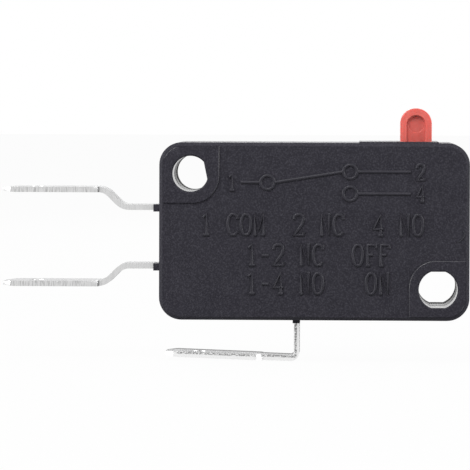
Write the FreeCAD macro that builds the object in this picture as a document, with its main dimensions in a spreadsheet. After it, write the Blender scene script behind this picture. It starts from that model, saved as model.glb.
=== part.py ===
import FreeCAD, Part
import math
import os
import re

import Sketcher

# Miniature snap-action switch with a pin plunger and three flat tabs, in millimetres.
# X runs along the case, Z points the way the plunger stands out, and Y is the case's
# thickness with the cover towards -Y. The origin is the lower mounting hole's axis at
# mid-thickness.

V = FreeCAD.Vector

# Driving sizes: alias, value, meaning
SIZES = (
    ("hole_pitch_x", 22.2, "mounting holes, centre to centre along the case"),
    ("hole_pitch_z", 10.3, "mounting holes, centre to centre across the case"),
    ("hole_edge", 2.8, "mounting hole centre to the nearest outer faces"),
    ("lower_hole_r", 1.74, "lower hole radius"),
    ("lower_hole_flat", 1.62, "lower hole centre to its upper and lower flats"),
    ("upper_hole_r", 1.6, "upper hole radius"),
    ("upper_hole_flat", 1.39, "upper hole centre to its one flat"),
    ("upper_flat_tilt", 11.6, "upper hole flat, degrees off square"),
    ("hole_chamfer", 0.12, "chamfer at the hole mouths"),
    ("depth", 10.3, "thickness over the raised corner pads"),
    ("pad_rise", 0.15, "height of a corner pad over the face"),
    ("pad_reach", 2.6, "hole centre to the inner edges of its pad"),
    ("pad_round", 2.4, "inner corner of a pad"),
    ("corner_round", 2.0, "outer corners of the housing"),
    ("edge_bevel", 0.3, "bevel between the sides and the faces"),
    ("edge_margin", 0.05, "flat face left outside the pads and the ledge"),
    ("cover_depth", 1.85, "pad face to the joint line"),
    ("cover_plate", 1.3, "cover thickness over the cavity"),
    ("wall", 1.2, "housing walls and floor"),
    ("terminal_wall", 2.6, "thick end wall that holds two terminals"),
    ("cavity_round", 0.5, "corners of the cavity"),
    ("boss_wall", 1.0, "plastic round a mounting hole"),
    ("spigot_wall", 0.5, "cover spigot round a mounting hole"),
    ("spigot_length", 1.45, "cover spigot into the case"),
    ("fit_gap", 0.03, "clearance of each seated or sliding fit"),
    ("dowel_r", 0.6, "cover dowels"),
    ("dowel_length", 1.7, "cover dowels into the case"),
    ("dowel_inset", 1.7, "dowel centre to the outer faces"),
    ("dowel_boss", 1.1, "case boss round a dowel"),
    ("rib_thick", 0.5, "locating ribs inside the cover"),
    ("rib_height", 0.7, "locating ribs past the joint line"),
    ("ledge_rise", 0.1, "raised ledge round the plunger"),
    ("ledge_left", 5.1, "ledge, plunger axis to its left end"),
    ("ledge_right", 2.0, "ledge, plunger axis to its right end"),
    ("plunger_edge", 4.8, "plunger axis to the right end of the case"),
    ("plunger_wide", 2.82, "plunger width"),
    ("plunger_deep", 4.0, "plunger thickness"),
    ("plunger_proud", 3.1, "plunger over the case top, released"),
    ("guide_depth", 1.7, "length of the plunger guide"),
    ("flange_wide", 3.7, "plunger flange width"),
    ("flange_high", 1.0, "plunger flange height"),
    ("foot_wide", 2.2, "plunger foot width"),
    ("panel_wide", 1.73, "sunk panel on the plunger"),
    ("panel_top", 0.61, "plunger top to the panel's top"),
    ("panel_sunk", 0.3, "depth of the panel"),
    ("mark_r", 0.72, "round mark in the panel"),
    ("mark_sunk", 0.06, "depth of the round mark"),
    ("strip", 0.5, "terminal sheet thickness"),
    ("leg_wide", 3.2, "terminal leg width"),
    ("tab_wide", 4.75, "terminal tab width"),
    ("no_leg_z", 1.88, "height of the normally-open leg"),
    ("leg_pitch", 5.3, "between the two end legs"),
    ("tab_pitch", 8.5, "between the two end tabs"),
    ("joggle_start", 3.49, "case end to the first bend of an end terminal"),
    ("joggle_run", 1.61, "length of the joggle"),
    ("joggle_round", 1.5, "joggle bends, on the centre line"),
    ("neck_end", 5.62, "case end to the end of the narrow leg"),
    ("tab_reach", 14.3, "case end to the tab tip"),
    ("tip_taper", 1.0, "length of the thinned tip"),
    ("tip_thin", 0.28, "thickness at the tip"),
    ("tip_corner", 0.7, "corner chamfer of the tip in plan"),
    ("tab_hole_r", 0.65, "hole in a tab"),
    ("tab_hole_back", 3.0, "tip to the hole's centre"),
    ("com_edge", 12.3, "left end of the case to the common leg"),
    ("com_drop", 3.65, "case bottom to the common tab at its bend"),
    ("com_slope", 0.036, "rise of the common tab for each millimetre"),
    ("com_reach", 11.87, "common leg to its tab tip"),
    ("com_neck", 3.04, "common leg to the end of its narrow part"),
    ("com_bend", 0.55, "common bend on the centre line"),
    ("tongue_thick", 0.64, "cover tongues that close the slots"),
    ("end_tongue_proud", 0.56, "end tongues past the case"),
    ("com_tongue_proud", 0.32, "common tongue past the case"),
    ("contact_x", 5.2, "left end of the case to the contact axis"),
    ("contact_r", 1.25, "contact heads"),
    ("contact_share", 0.51, "fixed heads' share of the height left for contact heads"),
    ("contact_bevel", 0.2, "bevel round the fixed contact heads"),
    ("contact_gap", 0.8, "open gap between contacts"),
    ("contact_clear", 0.04, "left between closed contacts"),
    ("moving_r", 1.15, "moving contact heads"),
    ("moving_flat_r", 0.45, "flat middle of the moving contact heads"),
    ("moving_crown", 0.3, "fall from that flat to the rim"),
    ("shank_r", 0.6, "contact rivet shanks"),
    ("tail_r", 0.95, "upset tails of the fixed contacts"),
    ("tail_high", 0.28, "upset tails of the fixed contacts"),
    ("terminal_tail", 1.4, "contact axis to the inner end of a terminal"),
    ("arm_thick", 0.4, "contact arm sheet"),
    ("arm_wide", 3.2, "contact arm width"),
    ("arm_tail", 1.5, "contact axis to the arm's free end"),
    ("arm_slot", 2.0, "slot in the arm and the fork"),
    ("arm_slot_end", 4.2, "pivot to the closed end of the arm's slot"),
    ("post_top", 1.0, "pivot height to the fork's top"),
    ("fork_drop", 1.5, "pivot height to the fork's root"),
    ("notch_deep", 0.2, "pivot notch depth"),
    ("notch_high", 0.3, "pivot notch half height"),
    ("notch_gap", 0.04, "knife edge to the notch's root"),
    ("rocker_x", 2.5, "common leg to the rocker pin"),
    ("rocker_z", 3.4, "case bottom to the rocker pin"),
    ("rocker_sheet", 0.5, "rocker sheet thickness"),
    ("rocker_inside", 4.2, "between the rocker's cheeks"),
    ("rocker_eye", 0.9, "eye round the rocker pin"),
    ("rocker_pad_drop", 3.05, "plunger guide to the rocker's pad"),
    ("rocker_pad_half", 1.35, "plunger axis to each end of the pad"),
    ("web_x", 3.0, "common leg to the rocker's upright web"),
    ("web_low", 1.0, "pivot height to the web's lower edge"),
    ("web_bend", 1.7, "pivot height to the web's bend"),
    ("pin_r", 0.5, "rocker pin"),
    ("pin_running", 0.05, "radial clearance of the rocker on its pin"),
    ("pin_seat", 0.4, "rocker pin into the case and the cover"),
    ("pin_boss_r", 1.1, "bosses at the rocker pin"),
    ("side_gap", 0.15, "rocker cheeks to the bosses"),
    ("wire_r", 0.13, "snap spring wire"),
    ("coil_r", 0.6, "snap spring, centre of the wire"),
    ("coil_turns", 12, "turns of the snap spring"),
    ("hook_round", 0.3, "bend of the spring hooks"),
    ("hook_down", 0.5, "straight end of the spring hooks"),
    ("hook_hole_r", 0.24, "holes for the spring hooks"),
    ("anchor_rise", 0.32, "pivot height to the rocker's hook hole"),
    ("arm_hook", 0.6, "slot's closed end to the arm's hook hole"),
)

# Places worked out from the sizes: name, formula
PLACES = (
    ("upper_x", "-hole_pitch_x"),
    ("upper_z", "hole_pitch_z"),
    ("lower_x", "0"),
    ("lower_z", "0"),
    ("left", "-(hole_pitch_x + hole_edge)"),
    ("right", "hole_edge"),
    ("bottom", "-hole_edge"),
    ("top", "hole_pitch_z + hole_edge"),
    ("front_pad", "-depth / 2"),
    ("back_pad", "depth / 2"),
    ("front", "-depth / 2 + pad_rise"),
    ("back", "depth / 2 - pad_rise"),
    ("joint", "-depth / 2 + cover_depth"),
    ("cover_inside", "front + cover_plate"),
    ("floor", "back - wall"),
    ("inner_left", "left + terminal_wall"),
    ("inner_right", "right - wall"),
    ("inner_bottom", "bottom + wall"),
    ("inner_top", "top - wall"),
    ("rim", "edge_bevel + edge_margin"),
    ("upper_pad_left", "left + rim"),
    ("upper_pad_right", "upper_x + pad_reach"),
    ("upper_pad_bottom", "upper_z - pad_reach"),
    ("upper_pad_top", "top - rim"),
    ("lower_pad_left", "lower_x - pad_reach"),
    ("lower_pad_right", "right - rim"),
    ("lower_pad_bottom", "bottom + rim"),
    ("lower_pad_top", "lower_z + pad_reach"),
    ("pad_outer_round", "corner_round - rim"),
    ("boss_r", "lower_hole_r + boss_wall"),
    ("upper_boss_r", "upper_hole_r + boss_wall"),
    ("plunger_x", "right - plunger_edge"),
    ("guide_bottom", "top - guide_depth"),
    ("plunger_top", "top + plunger_proud"),
    ("flange_bottom", "guide_bottom - flange_high"),
    ("pad_top", "guide_bottom - rocker_pad_drop"),
    ("nc_leg_z", "no_leg_z + leg_pitch"),
    ("pivot_z", "no_leg_z + leg_pitch / 2"),
    ("nc_tab_z", "pivot_z + tab_pitch / 2"),
    ("no_tab_z", "pivot_z - tab_pitch / 2"),
    ("joggle_rise", "(tab_pitch - leg_pitch) / 2"),
    ("bend_in", "left - joggle_start"),
    ("bend_out", "left - joggle_start - joggle_run"),
    ("mitre", "strip / 2 * (sqrt(joggle_run ^ 2 + joggle_rise ^ 2) - joggle_run) / joggle_rise"),
    ("tip_x", "left - tab_reach"),
    ("neck_x", "left - neck_end"),
    ("shoulder", "(tab_wide - leg_wide) / 2"),
    ("com_x", "left + com_edge"),
    ("com_z", "bottom - com_drop"),
    ("com_tip", "com_x - com_reach"),
    ("com_inside_z", "com_z + strip / 2 * (1 + com_slope)"),
    ("com_outside_z", "com_z - strip / 2 * (1 + com_slope)"),
    ("com_block_top", "inner_bottom + 1"),
    ("head_x", "left + contact_x"),
    ("tail_x", "head_x + terminal_tail"),
    ("head_room", "(leg_pitch - strip - arm_thick - contact_gap) / 2 - contact_clear"),
    ("contact_high", "head_room * contact_share"),
    ("nc_face", "nc_leg_z - strip / 2 - contact_high"),
    ("no_face", "no_leg_z + strip / 2 + contact_high"),
    ("moving_half", "(nc_face - no_face - contact_gap) / 2 - contact_clear"),
    ("fork_face", "com_x - strip / 2"),
    ("pivot_x", "fork_face + notch_deep - notch_gap"),
    ("slot_end_x", "pivot_x - arm_slot_end"),
    ("arm_hook_x", "slot_end_x - arm_hook"),
    ("rocker_pin_x", "com_x - rocker_x"),
    ("rocker_pin_z", "bottom + rocker_z"),
    ("cheek_in", "rocker_inside / 2"),
    ("cheek_out", "rocker_inside / 2 + rocker_sheet"),
    ("pin_boss", "cheek_out + side_gap"),
    ("web_left", "com_x + web_x"),
    ("web_right", "web_left + rocker_sheet"),
    ("anchor_z", "pivot_z + anchor_rise"),
    ("dowel_right", "right - dowel_inset"),
    ("dowel_top", "top - dowel_inset"),
    ("dowel_left", "left + dowel_inset"),
    ("dowel_bottom", "bottom + dowel_inset"),
)

PLANES = {"XZ": ("XZ_Plane", -1), "XY": ("XY_Plane", 1), "YZ": ("YZ_Plane", 1)}
TOUCH = 1e-4
TURN_STEPS = 10
WIRE_SIDES = 8

doc = FreeCAD.newDocument("snap_switch")
sheet = doc.addObject("Spreadsheet::Sheet", "Sizes")
places = doc.addObject("App::VarSet", "Places")


def fill_sheet():
    """Write the driving sizes, then the places that follow from them."""
    for row, (alias, value, meaning) in enumerate(SIZES, start=1):
        sheet.set(f"A{row}", meaning)
        sheet.set(f"B{row}", str(value))
        sheet.setAlias(f"B{row}", alias)
    doc.recompute()
    for name, formula in PLACES:
        places.addProperty("App::PropertyFloat", name, "Places")
        places.setExpression(name, bind(formula))
        doc.recompute()


def bind(formula):
    """Put the sheet's or the place list's name before each word of a formula."""
    sizes = {alias for alias, _, _ in SIZES}
    known = {name for name, _ in PLACES}

    def full(match):
        word = match.group(0)
        if word in sizes:
            return "Sizes." + word
        if word in known:
            return "Places." + word
        return word

    return re.sub(r"[a-z][a-z_0-9]*", full, formula)


def num(name):
    """Value of a size or a place."""
    return float(getattr(places if name in places.PropertiesList else sheet, name))


def new_body(label):
    body = doc.addObject("PartDesign::Body", label)
    body.Label = label
    return body


def pin_point(sketch, shape, end, across, up, now=V(1, 1, 0)):
    """Hold one point of a sketch at two formulas, measured from the sketch's origin."""
    for kind, formula, value in (("DistanceX", across, now.x), ("DistanceY", up, now.y)):
        index = sketch.addConstraint(Sketcher.Constraint(kind, -1, 1, shape, end, value))
        sketch.setExpression(f"Constraints[{index}]", bind(formula))


def polygon(corners):
    """Closed outline through corners, each a pair of formulas."""
    def draw(sketch):
        first = sketch.GeometryCount
        count = len(corners)
        ring = [V(math.cos(2 * math.pi * i / count), math.sin(2 * math.pi * i / count), 0)
                for i in range(count)]
        for i in range(count):
            sketch.addGeometry(Part.LineSegment(ring[i], ring[(i + 1) % count]), False)
        for i in range(count):
            sketch.addConstraint(
                Sketcher.Constraint("Coincident", first + i, 2, first + (i + 1) % count, 1))
        for i, (across, up) in enumerate(corners):
            pin_point(sketch, first + i, 1, across, up)
    return draw


def box(low_x, high_x, low_z, high_z):
    return polygon([(low_x, low_z), (high_x, low_z), (high_x, high_z), (low_x, high_z)])


def rounded_box(low_x, high_x, low_z, high_z, rounds):
    """Box with some corners rounded.

    Its sides are named places, and rounds gives a corner, counted anticlockwise from the low
    left one, its radius.
    """
    def draw(sketch):
        corners = ((low_x, low_z), (high_x, low_z), (high_x, high_z), (low_x, high_z))
        steps = (V(1, 0, 0), V(0, 1, 0), V(-1, 0, 0), V(0, -1, 0))
        ends = []
        for i, (across, up) in enumerate(corners):
            onward, before = steps[i], steps[i - 1]
            spot = V(num(across), num(up), 0)
            if i not in rounds:
                ends.append((across, up, spot, None))
                continue
            radius, r_now = rounds[i], num(rounds[i])
            ends.append((f"{across} - {before.x:.0f} * {radius}",
                         f"{up} - {before.y:.0f} * {radius}", spot - before * r_now,
                         (radius, r_now, spot - before * r_now + onward * r_now, i)))
            ends.append((f"{across} + {onward.x:.0f} * {radius}",
                         f"{up} + {onward.y:.0f} * {radius}", spot + onward * r_now, None))
        first = sketch.GeometryCount
        count = len(ends)
        for i, (_, _, spot, bend) in enumerate(ends):
            if bend is None:
                sketch.addGeometry(Part.LineSegment(spot, ends[(i + 1) % count][2]), False)
                continue
            radius, r_now, centre, corner = bend
            turn = math.radians(180 + 90 * corner)
            circle = Part.Circle(centre, V(0, 0, 1), r_now)
            arc = sketch.addGeometry(Part.ArcOfCircle(circle, turn, turn + math.pi / 2), False)
            index = sketch.addConstraint(Sketcher.Constraint("Radius", arc, r_now))
            sketch.setExpression(f"Constraints[{index}]", bind(radius))
        for i in range(count):
            sketch.addConstraint(
                Sketcher.Constraint("Coincident", first + i, 2, first + (i + 1) % count, 1))
        for i, (across, up, spot, _) in enumerate(ends):
            pin_point(sketch, first + i, 1, across, up, spot)
    return draw


def disc(across, up, radius):
    def draw(sketch):
        shape = sketch.addGeometry(Part.Circle(V(0, 0, 0), V(0, 0, 1), 1.0), False)
        index = sketch.addConstraint(Sketcher.Constraint("Radius", shape, 1.0))
        sketch.setExpression(f"Constraints[{index}]", bind(radius))
        pin_point(sketch, shape, 3, across, up)
    return draw


def flatted_circle(across, up, radius, flat, angles):
    """Circle with a flat at each of the angles, all as far from its centre as flat."""
    def draw(sketch):
        r_now, d_now = num(radius), num(flat)
        half = math.acos(d_now / r_now)
        centre = V(num(across), num(up), 0)
        ends = []
        for angle in angles:
            turn = math.radians(num(angle) if isinstance(angle, str) else angle)
            ends.append((angle, turn, -1, turn - half))
            ends.append((angle, turn, 1, turn + half))
        spots = [centre + V(math.cos(a), math.sin(a), 0) * r_now for _, _, _, a in ends]
        first = sketch.GeometryCount
        count = len(ends)
        for i in range(count):
            following = (i + 1) % count
            if i % 2 == 0:
                sketch.addGeometry(Part.LineSegment(spots[i], spots[following]), False)
                continue
            start, stop = ends[i][3], ends[following][3]
            while stop < start:
                stop += 2 * math.pi
            circle = Part.Circle(centre, V(0, 0, 1), r_now)
            arc = sketch.addGeometry(Part.ArcOfCircle(circle, start, stop), False)
            index = sketch.addConstraint(Sketcher.Constraint("Radius", arc, r_now))
            sketch.setExpression(f"Constraints[{index}]", bind(radius))
        for i in range(count):
            sketch.addConstraint(
                Sketcher.Constraint("Coincident", first + i, 2, first + (i + 1) % count, 1))
        for i, (angle, _, side, _) in enumerate(ends):
            reach = f"sqrt({radius} ^ 2 - {flat} ^ 2)"
            cosine, sine = f"cos({angle} * 1 deg)", f"sin({angle} * 1 deg)"
            pin_point(sketch, first + i, 1,
                      f"{across} + {flat} * {cosine} - {side} * {reach} * {sine}",
                      f"{up} + {flat} * {sine} + {side} * {reach} * {cosine}", spots[i])
    return draw


def new_sketch(body, name, plane, offset, shift="0"):
    """Sketch on one of the body's own planes, moved along that plane's normal."""
    sketch = body.newObject("Sketcher::SketchObject", name)
    role = PLANES[plane][0]
    base = [item for item in body.Origin.OriginFeatures if item.Role == role][0]
    sketch.AttachmentSupport = [(base, "")]
    sketch.MapMode = "FlatFace"
    sketch.setExpression("AttachmentOffset.Base.x", bind(shift))
    sketch.setExpression("AttachmentOffset.Base.z", bind(offset))
    return sketch


def extrude(body, name, plane, low, high, outlines, cut=False):
    """Pad or pocket of the outlines between two places on the plane's world axis."""
    sense = PLANES[plane][1]
    start = high if (sense < 0) != cut else low
    sketch = new_sketch(body, name + "_outline", plane, f"{sense} * ({start})")
    for outline in outlines:
        outline(sketch)
    feature = body.newObject("PartDesign::Pocket" if cut else "PartDesign::Pad", name)
    feature.Profile = sketch
    feature.setExpression("Length", bind(f"({high}) - ({low})"))
    body.Tip = feature
    return feature


def revolve(body, name, axis_x, outline):
    """Turn an outline in the XZ plane about the upright line at axis_x."""
    sketch = new_sketch(body, name + "_outline", "XZ", "0", axis_x)
    outline(sketch)
    feature = body.newObject("PartDesign::Revolution", name)
    feature.Profile = sketch
    feature.ReferenceAxis = (sketch, ["V_Axis"])
    feature.Angle = 360
    body.Tip = feature
    return feature


def soften(body, name, kind, size, wanted):
    """Fillet or chamfer of the edges of the body so far that wanted accepts."""
    doc.recompute()
    base = body.Tip
    edges = [f"Edge{i}" for i, edge in enumerate(base.Shape.Edges, start=1) if wanted(edge)]
    feature = body.newObject("PartDesign::" + kind, name)
    feature.Base = (base, edges)
    feature.setExpression("Radius" if kind == "Fillet" else "Size", bind(size))
    body.Tip = feature
    return feature


def runs_along(edge, axis):
    """True for a straight edge parallel to one world axis."""
    spans = {"X": edge.BoundBox.XLength, "Y": edge.BoundBox.YLength, "Z": edge.BoundBox.ZLength}
    across = [length for name, length in spans.items() if name != axis]
    return spans[axis] > TOUCH and max(across) < TOUCH


def lies_at(edge, axis, place):
    """True for an edge that lies wholly in the plane at that place on the axis."""
    low, high = {"X": (edge.BoundBox.XMin, edge.BoundBox.XMax),
                 "Y": (edge.BoundBox.YMin, edge.BoundBox.YMax),
                 "Z": (edge.BoundBox.ZMin, edge.BoundBox.ZMax)}[axis]
    return abs(low - place) < TOUCH and abs(high - place) < TOUCH


def middle(edge):
    return edge.BoundBox.Center


def near(edge, x, z, reach):
    """True for an edge whose middle is within reach of a place in the XZ plane."""
    return math.hypot(middle(edge).x - x, middle(edge).z - z) < reach


def bores():
    """Both mounting holes, as they pass through the housing."""
    upper = flatted_circle("upper_x", "upper_z", "upper_hole_r", "upper_hole_flat",
                           ["upper_flat_tilt"])
    lower = flatted_circle("lower_x", "lower_z", "lower_hole_r", "lower_hole_flat", [90, 270])
    return [upper, lower]


def both_holes(upper_r, lower_r):
    return [disc("upper_x", "upper_z", upper_r), disc("lower_x", "lower_z", lower_r)]


def mirror_y(outline_at):
    """Outlines on both sides of mid-thickness, in a plane whose second axis is Y."""
    return [outline_at("1"), outline_at("-1")]


def shell_block(body, face, inner):
    """Housing half between its face and the joint line, with its outer edges rounded."""
    low, high = (face, inner) if num(face) < num(inner) else (inner, face)
    extrude(body, "block", "XZ", low, high, [box("left", "right", "bottom", "top")])
    soften(body, "corners", "Fillet", "corner_round", lambda edge: runs_along(edge, "Y"))
    soften(body, "face_edge", "Chamfer", "edge_bevel", lambda edge: lies_at(edge, "Y", num(face)))


def raised_pads(body, face, pad):
    """Low square pads round the two mounting holes, on one face of the housing."""
    low, high = (face, pad) if num(face) < num(pad) else (pad, face)
    upper = rounded_box("upper_pad_left", "upper_pad_right", "upper_pad_bottom", "upper_pad_top",
                        {1: "pad_round", 3: "pad_outer_round"})
    lower = rounded_box("lower_pad_left", "lower_pad_right", "lower_pad_bottom", "lower_pad_top",
                        {1: "pad_outer_round", 3: "pad_round"})
    extrude(body, "pads", "XZ", low, high, [upper, lower])


def hole_mouths(body, place):
    """Chamfer where the mounting holes meet the pads."""
    spots = [(num("upper_x"), num("upper_z")), (num("lower_x"), num("lower_z"))]

    def wanted(edge):
        inside = any(near(edge, x, z, num("lower_hole_r") + TOUCH) for x, z in spots)
        return lies_at(edge, "Y", num(place)) and inside

    soften(body, "hole_mouths", "Chamfer", "hole_chamfer", wanted)


def ledge(body, low, high):
    """Low ledge on top, round the plunger."""
    extrude(body, "ledge", "XZ", low, high,
            [box("plunger_x - ledge_left", "plunger_x + ledge_right", "top - wall",
                 "top + ledge_rise")])


def dowel_places(radius):
    return [disc("dowel_right", "dowel_top", radius), disc("dowel_left", "dowel_bottom", radius)]


def make_case():
    """Rear half of the housing: floor, walls, bosses, terminal slots and plunger guide."""
    body = new_body("case")
    shell_block(body, "back", "joint")
    raised_pads(body, "back", "back_pad")
    ledge(body, "joint", "back - rim")
    extrude(body, "cavity", "XZ", "joint", "floor",
            [box("inner_left", "inner_right", "inner_bottom", "inner_top")], cut=True)
    soften(body, "cavity_corners", "Fillet", "cavity_round",
           lambda edge: runs_along(edge, "Y") and edge.BoundBox.YMax < num("back") - TOUCH
           and abs(edge.Length - (num("floor") - num("joint"))) < TOUCH)
    extrude(body, "bosses", "XZ", "joint", "back", both_holes("upper_boss_r", "boss_r"))
    extrude(body, "dowel_bosses", "XZ", "joint", "floor", dowel_places("dowel_boss"))
    extrude(body, "guide_block", "XZ", "-cheek_out", "floor",
            [box("plunger_x - flange_wide / 2 - wall / 2", "inner_right", "guide_bottom",
                 "inner_top + wall / 2")])
    extrude(body, "common_block", "XZ", "joint", "floor",
            [box("com_x - wall", "com_x + wall", "bottom + wall / 2", "com_block_top")])
    extrude(body, "pin_boss", "XZ", "pin_boss", "floor + wall / 2",
            [disc("rocker_pin_x", "rocker_pin_z", "pin_boss_r")])
    extrude(body, "spigot_seats", "XZ", "joint", "joint + spigot_length + fit_gap",
            both_holes("upper_hole_r + spigot_wall + fit_gap",
                       "lower_hole_r + spigot_wall + fit_gap"), cut=True)
    extrude(body, "holes", "XZ", "joint", "back_pad", bores(), cut=True)
    extrude(body, "dowel_seats", "XZ", "joint", "joint + dowel_length + fit_gap",
            dowel_places("dowel_r + fit_gap"), cut=True)
    extrude(body, "pin_seat", "XZ", "pin_boss", "pin_boss + pin_seat + fit_gap",
            [disc("rocker_pin_x", "rocker_pin_z", "pin_r + fit_gap")], cut=True)
    extrude(body, "end_slots", "XZ", "joint", "leg_wide / 2 + fit_gap",
            [leg_slot("nc_leg_z", 1), leg_slot("no_leg_z", -1)], cut=True)
    extrude(body, "tongue_slots", "XZ", "joint", "-leg_wide / 2",
            [tongue_slot("nc_leg_z"), tongue_slot("no_leg_z")], cut=True)
    extrude(body, "common_slot", "XZ", "joint", "leg_wide / 2 + fit_gap",
            [common_slot("strip")], cut=True)
    extrude(body, "common_tongue_slot", "XZ", "joint", "-leg_wide / 2",
            [common_slot("tongue_thick")], cut=True)
    extrude(body, "plunger_hole", "XY", "guide_bottom - wall", "top + wall",
            [box("plunger_x - plunger_wide / 2 - fit_gap", "plunger_x + plunger_wide / 2 + fit_gap",
                 "-plunger_deep / 2 - fit_gap", "plunger_deep / 2 + fit_gap")], cut=True)
    hole_mouths(body, "back_pad")
    return body


def leg_slot(height, side):
    """Room for an end terminal's leg and its rivet tail; side is 1 where the tail looks up."""
    half = f"{side} * (strip / 2 + fit_gap)"
    tail = f"{side} * (strip / 2 + tail_high + fit_gap)"
    return polygon([
        ("left - wall", f"{height} + {half}"), ("left - wall", f"{height} - {half}"),
        ("tail_x + fit_gap", f"{height} - {half}"), ("tail_x + fit_gap", f"{height} + {half}"),
        ("head_x + tail_r + fit_gap", f"{height} + {half}"),
        ("head_x + tail_r + fit_gap", f"{height} + {tail}"),
        ("head_x - tail_r - fit_gap", f"{height} + {tail}"),
        ("head_x - tail_r - fit_gap", f"{height} + {half}")])


def tongue_slot(height):
    return box("left - wall", "inner_left + wall", f"{height} - tongue_thick / 2 - fit_gap",
               f"{height} + tongue_thick / 2 + fit_gap")


def common_slot(thick):
    return box(f"com_x - {thick} / 2 - fit_gap", f"com_x + {thick} / 2 + fit_gap",
               "bottom - wall", "com_block_top + wall")


def make_cover():
    """Front half of the housing, with the spigots, dowels, ribs and tongues that seat it."""
    body = new_body("cover")
    shell_block(body, "front", "joint")
    raised_pads(body, "front", "front_pad")
    ledge(body, "front + rim", "joint")
    extrude(body, "hollow", "XZ", "cover_inside", "joint",
            [box("inner_left", "inner_right", "inner_bottom", "inner_top")], cut=True)
    extrude(body, "boss_roots", "XZ", "cover_inside - wall / 2", "joint",
            both_holes("upper_boss_r", "boss_r"))
    extrude(body, "spigots", "XZ", "joint - wall / 2", "joint + spigot_length",
            both_holes("upper_hole_r + spigot_wall", "lower_hole_r + spigot_wall"))
    extrude(body, "dowel_roots", "XZ", "cover_inside - wall / 2", "joint",
            dowel_places("dowel_boss"))
    extrude(body, "dowels", "XZ", "joint - wall / 2", "joint + dowel_length",
            dowel_places("dowel_r"))
    extrude(body, "ribs", "XZ", "cover_inside - wall / 2", "joint + rib_height", rib_outlines())
    extrude(body, "pin_boss", "XZ", "cover_inside - wall / 2", "-pin_boss",
            [disc("rocker_pin_x", "rocker_pin_z", "pin_boss_r")])
    extrude(body, "tongues", "XZ", "cover_inside - wall / 2", "-leg_wide / 2 - fit_gap",
            [tongue("nc_leg_z"), tongue("no_leg_z"),
             box("com_x - tongue_thick / 2", "com_x + tongue_thick / 2",
                 "bottom + edge_bevel", "com_block_top")])
    extrude(body, "tongue_ends", "XZ", "joint - wall / 2", "-leg_wide / 2 - fit_gap",
            [box("left - end_tongue_proud", "left + wall", f"{height} - tongue_thick / 2",
                 f"{height} + tongue_thick / 2") for height in ("nc_leg_z", "no_leg_z")]
            + [box("com_x - tongue_thick / 2", "com_x + tongue_thick / 2",
                   "bottom - com_tongue_proud", "bottom + wall")])
    extrude(body, "holes", "XZ", "front_pad", "joint + spigot_length", bores(), cut=True)
    extrude(body, "pin_seat", "XZ", "-pin_boss - pin_seat - fit_gap", "-pin_boss",
            [disc("rocker_pin_x", "rocker_pin_z", "pin_r + fit_gap")], cut=True)
    hole_mouths(body, "front_pad")
    return body


def tongue(height):
    """Part of a tongue inside the end wall."""
    return box("left + edge_bevel", "inner_left", f"{height} - tongue_thick / 2",
               f"{height} + tongue_thick / 2")


def rib_outlines():
    """Three short ribs that drop inside the case walls and keep the cover in place."""
    top_rib = box("head_x + terminal_tail", "plunger_x - flange_wide / 2 - wall",
                  "inner_top - fit_gap - rib_thick", "inner_top - fit_gap")
    low_left = box("tail_x", "com_x - 2 * wall", "inner_bottom + fit_gap",
                   "inner_bottom + fit_gap + rib_thick")
    low_right = box("com_x + 2 * wall", "lower_x - boss_r - wall", "inner_bottom + fit_gap",
                    "inner_bottom + fit_gap + rib_thick")
    return [top_rib, low_left, low_right]


def make_plunger():
    """Push button with a full-round top, a sunk panel on each side, a flange and a foot."""
    body = new_body("plunger")
    deep = ("-plunger_deep / 2", "plunger_deep / 2")
    extrude(body, "stem", "XZ", *deep,
            [box("plunger_x - plunger_wide / 2", "plunger_x + plunger_wide / 2",
                 "guide_bottom - flange_high", "plunger_top")])
    soften(body, "dome", "Fillet", "plunger_wide / 2 - fit_gap",
           lambda edge: runs_along(edge, "Y") and middle(edge).z > num("top"))
    extrude(body, "flange", "XZ", *deep,
            [box("plunger_x - flange_wide / 2", "plunger_x + flange_wide / 2",
                 "flange_bottom", "guide_bottom")])
    extrude(body, "foot", "XZ", *deep,
            [box("plunger_x - foot_wide / 2", "plunger_x + foot_wide / 2",
                 "pad_top + fit_gap", "guide_bottom")])
    soften(body, "foot_round", "Fillet", "foot_wide / 2 - fit_gap",
           lambda edge: runs_along(edge, "Y") and middle(edge).z < num("flange_bottom") - TOUCH)
    for name, low, high in (("front_panel", "-plunger_deep / 2", "-plunger_deep / 2 + panel_sunk"),
                            ("back_panel", "plunger_deep / 2 - panel_sunk", "plunger_deep / 2")):
        sunk_panel(body, name, low, high)
    return body


def sunk_panel(body, name, low, high):
    """Round-topped recess in one side of the plunger, with the round mark at its head."""
    centre = "plunger_top - panel_top - panel_wide / 2"
    arch = [box("plunger_x - panel_wide / 2", "plunger_x + panel_wide / 2",
                "guide_bottom + wall / 2", centre)]
    extrude(body, name, "XZ", low, high, arch, cut=True)
    extrude(body, name + "_head", "XZ", low, high,
            [disc("plunger_x", centre, "panel_wide / 2")], cut=True)
    deeper = (low, high + " + mark_sunk") if low.startswith("-") else (low + " - mark_sunk", high)
    extrude(body, name + "_mark", "XZ", *deeper, [disc("plunger_x", centre, "mark_r")], cut=True)


def joggled_strip(leg, tab, side):
    """Edge outline of an end terminal; side is 1 where its tab steps up, -1 where down."""
    half = f"{side} * strip / 2"
    thin = f"{side} * tip_thin / 2"
    taper = "tip_x + tip_taper"
    return polygon([
        ("tail_x", f"{leg} + {half}"), ("bend_in + mitre", f"{leg} + {half}"),
        ("bend_out + mitre", f"{tab} + {half}"), (taper, f"{tab} + {half}"),
        ("tip_x", f"{tab} + {thin}"), ("tip_x", f"{tab} - {thin}"),
        (taper, f"{tab} - {half}"), ("bend_out - mitre", f"{tab} - {half}"),
        ("bend_in - mitre", f"{leg} - {half}"), ("tail_x", f"{leg} - {half}")])


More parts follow.
